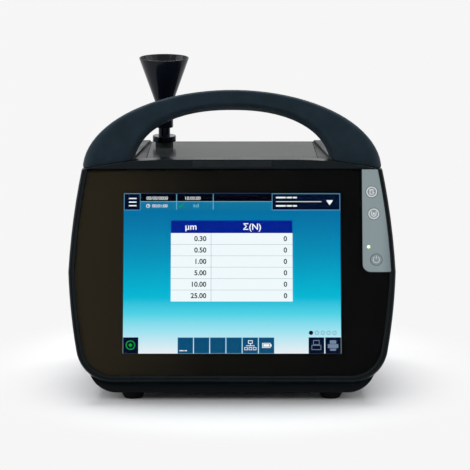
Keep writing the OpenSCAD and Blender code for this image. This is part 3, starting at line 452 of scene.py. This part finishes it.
# %% Give the other parts their finishes
PLAIN = {
    display_metal: ["display_frame"],
    board_green: ["keypad_board", "main_board", "power_board", "detector_board"],
    rubber: ["probe_o_ring"],
    screw_steel: ["handle_screws", "bezel_screws", "foot_screws", "chassis_screws", "hinge_pin"],
    fitting_steel: ["inlet_nut", "inlet_tube"],
    fan_plastic: ["blower_housing"],
    battery_wrap: ["battery_pack"],
    sheet_aluminium: ["battery_bay", "chassis_plate", "sensor_block", "mirror_housing"],
    brass: ["standoffs", "sensor_posts"],
    black_anodised: ["laser_module", "beam_dump", "blower_motor"],
    white_plastic: ["impeller", "hepa_filter"],
    blue_hose: ["sample_tube", "outlet_tube", "exhaust_tube"],
}
for finish, nodes in PLAIN.items():
    for node in nodes:
        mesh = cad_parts[node].data
        mesh.materials.clear()
        mesh.materials.append(finish)
print("plain parts:", sum(len(nodes) for nodes in PLAIN.values()))

# %% [markdown]
# ## The lit screen
# A display glows, so its finish is an emission colour on a black surface.  Its
# background runs from blue at the top through cyan to nearly white at the foot,
# which a ramp on the height draws, under the faint grid of its pixels.

# %% Screen background
PIXEL = 0.264
SCREEN_W, SCREEN_H = 800 * PIXEL, 600 * PIXEL
low, high = extent("display_panel", ON_FACE)
SCREEN_MID = (low[1] + high[1]) / 2          # height of the picture's middle up the slope
PANEL_N = high[2]                            # front of the display panel


def srgb(*rgb):
    return tuple(((c / 255 + 0.055) / 1.055) ** 2.4 if c > 10 else c / 255 / 12.92 for c in rgb)


def lit(name, colour=None, stops=None, strength=1.28):
    """A glowing colour, a little stronger than drawn since the glass dims it."""
    finish = Finish(name, (0, 0, 0), 0.4, Emission_Strength=strength, Specular_IOR_Level=0)
    columns = finish.node("ShaderNodeTexWave", {"wave_type": "BANDS", "bands_direction": "X"}, {
        "Vector": finish.place, "Scale": 1 / (PIXEL * MM) / 20 * math.pi * 2})
    grid = finish.spread(columns, 0, 1, 0, 0.06)
    if stops:
        foot = (FACE_FOOT.z + (SCREEN_MID - SCREEN_H / 2) * math.cos(TILT)) * MM
        head = foot + SCREEN_H * math.cos(TILT) * MM
        height = finish.spread(finish.along(2), foot, head, 0, 1)
        tone = finish.node("ShaderNodeValToRGB", {"stops": stops}, {0: height})
    else:
        tone = (*colour, 1)
    return finish.feed(Emission_Color=finish.mix(grid, tone, (0, 0, 0, 1)))


screen_back = lit("screen_back", stops=[
    (0.00, srgb(240, 249, 254)), (0.12, srgb(172, 238, 252)), (0.235, srgb(86, 220, 240)),
    (0.34, srgb(0, 192, 224)), (0.49, srgb(0, 170, 208)), (0.61, srgb(0, 150, 194)),
    (0.735, srgb(0, 133, 183)), (0.86, srgb(0, 117, 172)), (1.00, srgb(0, 104, 160))])
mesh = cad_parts["display_panel"].data
mesh.materials.clear()
mesh.materials.append(screen_back)
led = Finish("led_lens", (0.3, 0.45, 0.25), 0.3, Emission_Strength=1.0)
glow = led.spread(led.noise(600, 2), 0.2, 0.8, 0, 0.3)
led_lens = led.feed(Emission_Color=led.mix(glow, (0.88, 1.0, 0.66, 1), (0.60, 0.90, 0.42, 1)))
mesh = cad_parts["status_led"].data
mesh.materials.clear()
mesh.materials.append(led_lens)
print("screen", round(SCREEN_W, 1), "by", round(SCREEN_H, 1), "mm, middle at", round(SCREEN_MID, 2))

# %% [markdown]
# ## The picture on the screen
# The bars, tiles, table and figures are thin tiles laid on the display panel, each
# colour one piece.  A tile's level says how thick it is, so that a white figure
# stands above the blue tile behind it and no two faces share a plane.

# %% Helpers for tiles and figures
LEVEL = 0.045
LCD = ON_FACE @ Matrix.Translation((-SCREEN_W / 2, SCREEN_MID - SCREEN_H / 2, PANEL_N))


class Print:
    """Flat shapes of one colour, laid on a plane in millimetres."""

    def __init__(self, name, finish, place=LCD, slot="display_screen", body="counter"):
        self.bm, self.name, self.finish = bmesh.new(), name, finish
        self.place, self.slot, self.body = place, slot, body

    def raise_up(self, points, level):
        """A flat outline drawn up to its level."""
        verts = [self.bm.verts.new((x, y, 0)) for x, y in points]
        base = self.bm.faces.new(verts)
        top = bmesh.ops.extrude_face_region(self.bm, geom=[base])
        moved = [v for v in top["geom"] if isinstance(v, bmesh.types.BMVert)]
        bmesh.ops.translate(self.bm, verts=moved, vec=(0, 0, level * LEVEL))

    def tile(self, x0, y0, x1, y1, level=1):
        self.raise_up([(x0, y0), (x1, y0), (x1, y1), (x0, y1)], level)

    def frame(self, x0, y0, x1, y1, line, level=1):
        """Four tiles round a rectangle."""
        self.tile(x0, y0, x1, y0 + line, level)
        self.tile(x0, y1 - line, x1, y1, level)
        self.tile(x0, y0 + line, x0 + line, y1 - line, level)
        self.tile(x1 - line, y0 + line, x1, y1 - line, level)

    def disc(self, x, y, r, level=1, sides=28):
        angles = [2 * math.pi * i / sides for i in range(sides)]
        self.raise_up([(x + r * math.cos(a), y + r * math.sin(a)) for a in angles], level)

    def ring(self, x, y, r, line, level=1, start=0, turn=360, sides=36):
        """An arc of a ring, a full one by default."""
        steps = max(3, round(sides * turn / 360))
        angles = [math.radians(start + turn * i / steps) for i in range(steps + 1)]
        for a, b in zip(angles, angles[1:]):
            self.raise_up([(x + q * math.cos(t), y + q * math.sin(t))
                for q, t in ((r, a), (r, b), (r - line, b), (r - line, a))], level)

    def figures(self, text, x, y, size, level=1, align="LEFT", bold=0.012):
        """Figures and units set in Blender's own plain type."""
        curve = bpy.data.curves.new("figures", "FONT")
        curve.body, curve.size, curve.align_x = text, size, align
        curve.extrude, curve.offset = level * LEVEL / 2, size * bold
        shape = bpy.data.objects.new("figures", curve)
        bpy.context.scene.collection.objects.link(shape)
        bpy.context.view_layer.update()
        mesh = bpy.data.meshes.new_from_object(shape.evaluated_get(bpy.context.evaluated_depsgraph_get()))
        mesh.transform(Matrix.Translation((x, y, level * LEVEL / 2)))
        self.bm.from_mesh(mesh)
        bpy.data.objects.remove(shape)
        bpy.data.curves.remove(curve)
        bpy.data.meshes.remove(mesh)

    def done(self):
        bmesh.ops.recalc_face_normals(self.bm, faces=self.bm.faces)
        print(self.name, len(self.bm.faces), "faces")
        return settle(self.bm, self.name, self.place, self.finish, self.body, self.slot)


# %% Colours of the picture
navy = Print("image_navy", lit("image_navy", srgb(0, 12, 42)))
black = Print("image_black", lit("image_black", srgb(0, 0, 8)))
teal = Print("image_teal", lit("image_teal", srgb(10, 120, 164)))
sea = Print("image_sea", lit("image_sea", srgb(8, 80, 122)))
royal = Print("image_royal", lit("image_royal", srgb(0, 32, 148)))
paper = Print("image_paper", lit("image_paper", srgb(240, 250, 253), strength=1.41))
white = Print("image_white", lit("image_white", srgb(246, 252, 255), strength=1.41))
grey = Print("image_grey", lit("image_grey", srgb(120, 140, 165)))
cyan = Print("image_cyan", lit("image_cyan", srgb(120, 190, 220)))
green = Print("image_green", lit("image_green", srgb(20, 170, 60)))
ink = Print("image_ink", lit("image_ink", srgb(6, 12, 24)))
PICTURE = (navy, black, teal, sea, royal, paper, white, grey, cyan, green, ink)
print("picture colours:", len(PICTURE))

# %% [markdown]
# The bars along the top hold the menu, the date and clock, the run's state and a box
# for the place, whose words are plain bars.

# %% Bars along the top
TOP = SCREEN_H
BAR = 8.0                                    # black bar along the top
STRIP = 16.6                                 # foot of the strip below it
black.tile(0, TOP - BAR, 145, TOP, 1)
teal.tile(16, TOP - STRIP, 145, TOP - BAR, 1)
navy.tile(0, TOP - STRIP, 16, TOP, 2)
cyan.frame(0, TOP - STRIP, 16, TOP, 0.35, 3)
for row in (4.9, 8.5, 12.1):
    white.tile(4.8, TOP - row - 0.55, 12.2, TOP - row + 0.55, 3)
cyan.tile(16.2, TOP - BAR - 0.3, 145, TOP - BAR + 0.3, 2)
for column in (51.4, 87.2):
    cyan.tile(column - 0.3, TOP - STRIP + 0.4, column + 0.3, TOP - 0.6, 3)
white.figures("00/00/0000", 22, TOP - 6.2, 4.6, 2, bold=0)
white.figures("10:00:00", 59, TOP - 6.2, 4.6, 2, bold=0)
white.ring(23.6, TOP - 12.3, 1.9, 0.45, 2)
white.tile(23.4, TOP - 12.5, 23.8, TOP - 11.0, 2)
white.tile(23.8, TOP - 12.5, 24.8, TOP - 12.1, 2)
white.figures("00:01:00", 27.5, TOP - 13.8, 4.4, 2, bold=0)
green.raise_up([(53.4, TOP - 12.4), (54.2, TOP - 11.8), (55.1, TOP - 12.9), (57.6, TOP - 9.9),
    (58.3, TOP - 10.6), (55.1, TOP - 14.3)], 2)
cyan.tile(68, TOP - 13.8, 69, TOP - 10.6, 2)
cyan.tile(70, TOP - 13.8, 71, TOP - 11.4, 2)
cyan.tile(72, TOP - 13.8, 73, TOP - 10.2, 2)
navy.tile(144.6, TOP - STRIP, SCREEN_W, TOP, 2)
cyan.frame(144.6, TOP - STRIP, SCREEN_W, TOP, 0.4, 3)
for row in (4.0, 12.3):
    for start, width in ((148.6, 9.5), (159.1, 5.0), (165.0, 4.0)):
        white.tile(start, TOP - row - 0.75, start + width, TOP - row + 0.75, 3)
white.tile(148.6, TOP - 8.4, 193, TOP - 7.8, 3)
white.raise_up([(197.6, TOP - 6.6), (204.4, TOP - 6.6), (201, TOP - 11.6)], 3)
print("top bars:", len(white.bm.faces), "white faces")

# %% [markdown]
# The table lists the sizes of particle in micrometres and the count of each, on
# white paper under a blue head, with thin rules between the rows.

# %% Table of counts
LEFT, RIGHT, HEAD, BODY, FOOT = 46.0, 164.6, 131.6, 119.0, 51.2
DIVIDER = 85.2
royal.tile(LEFT, BODY, RIGHT, HEAD, 1)
paper.tile(LEFT, FOOT, RIGHT, BODY, 1)
grey.tile(DIVIDER - 0.15, FOOT, DIVIDER + 0.15, BODY, 2)
white.figures("µm", 65.4, BODY + 3.4, 9.0, 2, "CENTER")
white.figures("Σ(N)", 125.2, BODY + 3.4, 8.6, 2, "CENTER")
SIZES = ("0.30", "0.50", "1.00", "5.00", "10.00", "25.00")
ROW = (BODY - FOOT) / len(SIZES)
for i, figure in enumerate(SIZES):
    base = BODY - ROW * (i + 1)
    ink.figures(figure, 80.6, base + ROW * 0.30, 6.9, 2, "RIGHT", 0.022)
    ink.figures("0", 159.3, base + ROW * 0.30, 6.9, 2, "RIGHT", 0.022)
    if i:
        grey.tile(LEFT, base + ROW - 0.12, RIGHT, base + ROW + 0.12, 2)
print("table rows:", len(SIZES))

# %% [markdown]
# Five dots say which page is shown.  The tiles along the foot hold the signs for the
# run, the network, the battery, the user and the printer.

# %% Page dots and tiles along the foot
for i in range(5):
    if i:
        grey.ring(182.2 + 5.7 * i, 20.4, 1.9, 0.5)
    else:
        navy.disc(182.2, 20.4, 2.1)
TILE_TOP = 15.9
navy.tile(0, 0, 14.8, TILE_TOP, 1)
green.ring(7.2, 8.3, 4.6, 0.9, 2)
green.raise_up([(7.2, 6.3), (9.2, 8.3), (7.2, 10.3), (5.2, 8.3)], 2)
TILES_AT, TILE_W, TILES = 52.8, 15.72, 6
for i in range(TILES):
    x = TILES_AT + i * TILE_W
    sea.tile(x, 0, x + TILE_W - 0.5, TILE_TOP, 1)
    cyan.frame(x, 0, x + TILE_W - 0.5, TILE_TOP, 0.3, 2)
for start, width in ((54.6, 4.2), (59.6, 2.4)):
    white.tile(start, 2.4, start + width, 3.3, 2)
NET = 123.4                                  # middle of the network sign
white.frame(NET - 2.2, 9.6, NET + 2.2, 13.0, 0.6, 2)
white.tile(NET - 0.3, 7.6, NET + 0.3, 9.6, 2)
white.tile(NET - 4.2, 7.3, NET + 4.2, 7.9, 2)
for x in (NET - 4.2, NET, NET + 4.2):
    white.frame(x - 1.6, 3.4, x + 1.6, 6.2, 0.5, 2)
CELL = 139.2                                 # middle of the battery sign
white.frame(CELL - 4.4, 5.6, CELL + 3.8, 10.4, 0.6, 2)
white.tile(CELL - 3.2, 6.8, CELL + 2.6, 9.2, 2)
white.tile(CELL + 3.8, 7.0, CELL + 4.8, 9.0, 2)
for x in (179.8, 196.0):
    navy.tile(x, 0, x + 15.2, TILE_TOP, 1)
grey.frame(184.2, 8.4, 190.4, 13.2, 0.6, 2)
grey.frame(182.6, 3.6, 192.0, 8.4, 0.6, 2)
grey.tile(200.4, 9.6, 206.6, 13.0, 2)
grey.tile(198.4, 5.4, 208.6, 9.2, 2)
grey.tile(200.6, 2.8, 206.4, 4.9, 2)
for colour in PICTURE:
    colour.done()

# %% [markdown]
# ## Signs on the keys
# Two keys carry a white ring with a small sign, and the power key a paler one.  They
# are thin prints that ride on the keys, so that they move when a key is pressed.

# %% Key signs
key_white = moulded("key_white", (0.92, 0.94, 0.95), 0.45, 0.002, tone=0.02)
key_pale = moulded("key_pale", (0.80, 0.86, 0.88), 0.45, 0.002, tone=0.02)


def sign_on(key, finish):
    """A print in the middle of a key's top, its foot just inside the key."""
    low, high = extent(key, ON_FACE)
    place = ((low[0] + high[0]) / 2, (low[1] + high[1]) / 2, high[2] - 0.01)
    return Print(key.replace("_key", "_sign"), finish, ON_FACE @ Matrix.Translation(place),
        "keypad_film", key)


sign = sign_on("start_key", key_white)
sign.ring(0, 0, 5.4, 1.3)
sign.frame(-2.2, -2.8, 1.8, 2.8, 1.0)
sign.tile(-0.9, 0.7, 0.7, 1.3)
sign.raise_up([(0.4, -0.3), (2.9, -0.3), (2.9, -1.1), (0.4, -1.1)], 1)
sign.done()
sign = sign_on("menu_key", key_white)
sign.ring(0, 0, 5.4, 1.3)
sign.ring(0, -0.2, 2.7, 1.1, 1, 180, 180)
sign.tile(-2.7, -0.2, -1.6, 2.6)
sign.tile(1.6, -0.2, 2.7, 2.6)
sign.disc(0, 0.2, 1.2)
sign.done()
sign = sign_on("power_key", key_pale)
sign.ring(0, 0, 3.4, 0.7, 1, 120, 300)
sign.tile(-0.35, 0.6, 0.35, 4.0)
sign.done()

# %% [markdown]
# ## Turned parts
# The probe and the barbs of the exhaust are lathe work: a profile in the plane of
# the axis, spun through a full turn.  The probe's rim is rounded and its bore
# tapers from the mouth to the neck of the fitting.

# %% Probe and hose barbs
def turned(name, profile, place, finish, slot, replaces=(), steps=96):
    """A closed profile of (radius, height) pairs, spun about the vertical axis."""
    bm = bmesh.new()
    verts = [bm.verts.new((r, 0, z)) for r, z in profile]
    edges = [bm.edges.new(pair) for pair in zip(verts, verts[1:] + verts[:1])]
    bmesh.ops.spin(bm, geom=verts + edges, cent=(0, 0, 0), axis=(0, 0, 1), dvec=(0, 0, 0),
        angle=2 * math.pi, steps=steps, use_merge=True, use_normal_flip=False, use_duplicate=False)
    bmesh.ops.recalc_face_normals(bm, faces=bm.faces)
    print(name, len(bm.faces), "faces")
    return settle(bm, name, place, finish, slot=slot, replaces=replaces)


PROBE_AT = (-68.4, 64.75, 238.2)             # foot of the stem
STEM_R, MOUTH_R, STEM_H, PROBE_H = 9.0, 25.0, 26.0, 71.0
rim = [(MOUTH_R - 0.6 + 0.6 * math.cos(a), PROBE_H - 0.6 + 0.6 * math.sin(a))
    for a in (math.radians(d) for d in range(-20, 181, 25))]
turned("isokinetic_probe_turned", [(5.95, 0), (STEM_R - 0.8, 0), (STEM_R - 0.25, 0.25), (STEM_R, 0.8),
    (STEM_R, STEM_H - 1.5), (STEM_R + 0.18, STEM_H), (STEM_R + 0.75, STEM_H + 1.6)] + rim
    + [(4.8, STEM_H - 2), (4.8, 13), (5.95, 13)],
    Matrix.Translation(PROBE_AT), probe_steel, "probe_steel", ["isokinetic_probe"])
INSIDE_R, BARB_R, NECK_R, PITCH = 4.4, 5.15, 4.78, 2.8   # the first lies within the spigot's wall
barb = [(INSIDE_R, 3.6)]
for i in range(3):
    barb += [(BARB_R, 4.2 + i * PITCH), (NECK_R, 6.6 + i * PITCH)]
turned("exhaust_barbs", barb + [(INSIDE_R, 12.6)], on_rear(-25, 150), fitting_steel, "fitting_steel",
    steps=48)

# %% [markdown]
# ## Screws, contacts and the bare plate
# The screws of the rear panel and of the fan have button heads with a hexagonal
# socket.  A head is two loops of different sides bridged into a ring, the inner one
# drawn down for the socket, and its shank is as long as the screw's it stands for.
# The two data sockets get their contacts, and the band above the glass a bare plate
# where such a counter carries its name.

# %% Screws
def button_screw(r, h, shank):
    """A screw with a hexagonal socket, its head's foot on the plane z = 0."""
    bm = bmesh.new()
    rim = bmesh.ops.create_circle(bm, segments=24, radius=r, cap_ends=False)["verts"]
    bottom = bmesh.ops.contextual_create(bm, geom=rim)["faces"]
    side = bmesh.ops.extrude_face_region(bm, geom=bottom)
    top = [f for f in side["geom"] if isinstance(f, bmesh.types.BMFace)]
    bmesh.ops.translate(bm, verts=top[0].verts, vec=(0, 0, h))
    outer = list(top[0].edges)
    bmesh.ops.delete(bm, geom=top, context="FACES_ONLY")
    ring = bmesh.ops.create_circle(bm, segments=6, radius=r * 0.5, cap_ends=False)["verts"]
    bmesh.ops.translate(bm, verts=ring, vec=(0, 0, h))
    inner = list({e for v in ring for e in v.link_edges})
    bmesh.ops.bridge_loops(bm, edges=outer + inner)
    floor = bmesh.ops.extrude_edge_only(bm, edges=inner)
    low = [v for v in floor["geom"] if isinstance(v, bmesh.types.BMVert)]
    bmesh.ops.translate(bm, verts=low, vec=(0, 0, -h * 0.6))
    bmesh.ops.contextual_create(bm, geom=low)
    rounded = [e for e in outer if e.is_valid]
    bmesh.ops.bevel(bm, geom=rounded, offset=h * 0.45, offset_type="OFFSET", affect="EDGES",
        segments=4, profile=0.5, material=-1)
    bmesh.ops.create_cone(bm, segments=16, radius1=1.4, radius2=1.4, depth=shank, cap_ends=True,
        matrix=Matrix.Translation((0, 0, 0.1 - shank / 2)))
    bmesh.ops.recalc_face_normals(bm, faces=bm.faces)
    mesh = bpy.data.meshes.new("screw")
    bm.to_mesh(mesh)
    bm.free()
    return mesh


HEAD_R, HEAD_H = 3.1, 1.9
GUARD_Y = extent("fan_guard")[1][1]          # outer side of the fan guard
PANEL_SPOTS = [(x, z) for x in (-94.5, 94.5) for z in (41.5, 184.5)]
FAN_SPOTS = [(x, z) for x in (27, 77) for z in (115, 165)]
for node, spots, y in (("panel_screws", PANEL_SPOTS, REAR_Y), ("fan_screws", FAN_SPOTS, GUARD_Y)):
    tip = extent(node)[0][1]
    bm = bmesh.new()
    for x, z in spots:
        one = button_screw(HEAD_R, HEAD_H, y - tip)
        one.transform(on_rear(x, z, y))
        bm.from_mesh(one)
        bpy.data.meshes.remove(one)
    print(node, len(bm.faces), "faces, shanks", round(y - tip, 1), "mm")
    settle(bm, node + "_turned", UPRIGHT, screw_steel, slot="screw_steel", replaces=[node])


# %% Contacts and the plate
def strips(name, boxes, finish, slot, place=UPRIGHT, width=0.08):
    """Small bars given by their middle and size, with eased edges."""
    bm = bmesh.new()
    for middle, size in boxes:
        made = bmesh.ops.create_cube(bm, size=1)["verts"]
        bmesh.ops.scale(bm, vec=size, verts=made)
        bmesh.ops.translate(bm, vec=middle, verts=made)
    bmesh.ops.bevel(bm, geom=bm.edges[:], offset=width, offset_type="OFFSET", affect="EDGES",
        segments=2, profile=0.5, material=-1)
    print(name, len(bm.faces), "faces")
    return settle(bm, name, place, finish, slot=slot)


def middle_x(node):
    """Middle of a solid part from left to right."""
    low, high = extent(node)
    return (low[0] + high[0]) / 2


NETWORK_X, DATA_X, CONTACT_PITCH = middle_x("ethernet_socket"), middle_x("usb_socket"), 1.02
strips("network_contacts", [((NETWORK_X + (i - 3.5) * CONTACT_PITCH, 91, 65.4), (0.45, 12, 0.35))
    for i in range(8)], brass, "brass")
strips("data_tongue", [((DATA_X, 93.5, 63.1), (11.4, 9, 1.9))], white_plastic, "socket_shell")
strips("data_contacts", [((DATA_X + x, 94.5, 62.1), (1.0, 6.5, 0.2)) for x in (-3.5, -1.0, 1.0, 3.5)],
    brass, "brass", width=0.03)
strips("bare_plate", [((0, 216.6, 1.3), (77, 6.2, 0.6))], plate_plastic, "bezel_plastic", ON_FACE, 0.2)

# %% [markdown]
# ## Floor, light and camera
# The counter stands on a wide white table, which keeps its soft shadow and fades
# into an even glow away from it.  One material does both, with a ramp on the
# distance from the middle as the factor between paint and glow.

# %% Floor
FLOOR_HALF = 4                               # metres
SHADOW_R, GLOW_R = 0.14, 0.28                # metres: paint inside the first, glow past the second


def floor_finish():
    """White paint that keeps its shadow near the counter and glows evenly far away."""
    made = bpy.data.materials.new("table_white")
    made.use_nodes = True
    tree = made.node_tree
    shader = tree.nodes["Principled BSDF"]
    shader.inputs["Base Color"].default_value = (0.88, 0.88, 0.88, 1)
    shader.inputs["Roughness"].default_value = 0.85
    shader.inputs["Specular IOR Level"].default_value = 0.1
    glow = tree.nodes.new("ShaderNodeEmission")
    glow.inputs["Color"].default_value = (0.922, 0.922, 0.922, 1)
    place = tree.nodes.new("ShaderNodeTexCoord")
    length = tree.nodes.new("ShaderNodeVectorMath")
    length.operation = "LENGTH"
    tree.links.new(place.outputs["Object"], length.inputs[0])
    far = tree.nodes.new("ShaderNodeMapRange")
    far.interpolation_type = "SMOOTHSTEP"
    far.inputs["From Min"].default_value, far.inputs["From Max"].default_value = SHADOW_R, GLOW_R
    tree.links.new(length.outputs["Value"], far.inputs["Value"])
    mixed = tree.nodes.new("ShaderNodeMixShader")
    tree.links.new(far.outputs[0], mixed.inputs[0])
    tree.links.new(shader.outputs[0], mixed.inputs[1])
    tree.links.new(glow.outputs[0], mixed.inputs[2])
    tree.links.new(mixed.outputs[0], tree.nodes["Material Output"].inputs[0])
    return made


bm = bmesh.new()
bmesh.ops.create_grid(bm, x_segments=1, y_segments=1, size=FLOOR_HALF)
mesh = bpy.data.meshes.new("table_top")
bm.to_mesh(mesh)
bm.free()
table = bpy.data.objects.new("table_top", mesh)
bpy.context.scene.collection.objects.link(table)
mesh.materials.append(floor_finish())
table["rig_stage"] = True
print("floor", 2 * FLOOR_HALF, "m square")

# %% [markdown]
# The world is white to the camera, in reflections and through glass, and a soft grey
# as a light, so that the backdrop stays bright while the shadows keep their depth.

# %% World
world = bpy.data.worlds.new("studio")
bpy.context.scene.world = world
world.use_nodes = True
tree = world.node_tree
rays = tree.nodes.new("ShaderNodeLightPath")
seen = rays.outputs["Is Camera Ray"]
for ray in ("Is Glossy Ray", "Is Transmission Ray"):
    either = tree.nodes.new("ShaderNodeMath")
    either.operation = "MAXIMUM"
    tree.links.new(seen, either.inputs[0])
    tree.links.new(rays.outputs[ray], either.inputs[1])
    seen = either.outputs[0]
tone = tree.nodes.new("ShaderNodeMix")
tone.data_type = "RGBA"
tone.inputs[6].default_value = (0.24, 0.25, 0.26, 1)
tone.inputs[7].default_value = (0.898, 0.898, 0.898, 1)
tree.links.new(seen, tone.inputs[0])
tree.links.new(tone.outputs[2], tree.nodes["Background"].inputs["Color"])
print("world:", len(tree.nodes), "nodes")

# %% [markdown]
# Five softboxes stand round the counter.  The strong one is a long strip overhead, a
# little behind, which draws the soft highlight along the handle and the top.

# %% Soft lights
def softbox(name, place, aim, width, height, watts):
    light = bpy.data.lights.new(name, "AREA")
    light.shape, light.size, light.size_y, light.energy = "RECTANGLE", width, height, watts
    lamp = bpy.data.objects.new(name, light)
    lamp.location = place
    lamp.rotation_euler = (Vector(aim) - Vector(place)).to_track_quat("-Z", "Y").to_euler()
    bpy.context.scene.collection.objects.link(lamp)


softbox("key_light", (-1.3, -1.0, 1.6), (0, 0, 0.1), 1.4, 1.0, 7)
softbox("fill_light", (1.3, -0.9, 1.2), (0, 0, 0.1), 1.0, 1.0, 3)
softbox("back_light", (0, 0.80, 1.7), (0, 0, 0.1), 1.7, 0.4, 34)
softbox("left_light", (-1.5, 0.0, 0.55), (0, 0, 0.12), 1.1, 0.9, 8)
softbox("right_light", (1.5, 0.0, 0.55), (0, 0, 0.12), 1.1, 0.9, 6)
bpy.context.scene.view_settings.view_transform = "Standard"
print("softboxes:", len(bpy.data.lights))

# %% [markdown]
# The camera stands 3 metres off with a long lens, as for a catalogue, so that the
# sides hardly converge, and looks a little down on the top.

# %% Camera
AIM = Vector((0.0029, -0.0602, 0.1529))
DOWN = math.radians(11.7)
AWAY = 2.976
data = bpy.data.cameras.new("viewpoint")
data.sensor_width, data.lens = 36, 233.85    # millimetres
data.clip_start, data.clip_end = 0.5, 20
camera = bpy.data.objects.new("viewpoint", data)
camera.location = AIM + AWAY * Vector((0, -math.cos(DOWN), math.sin(DOWN)))
camera.rotation_euler = (math.pi / 2 - DOWN, 0, 0)
bpy.context.scene.collection.objects.link(camera)
bpy.context.scene.camera = camera
print("camera at", [round(v, 3) for v in camera.location])

# %% Print the size of what is shown
low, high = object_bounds()
print("visual box", [round(v, 4) for v in (*low, *high)])
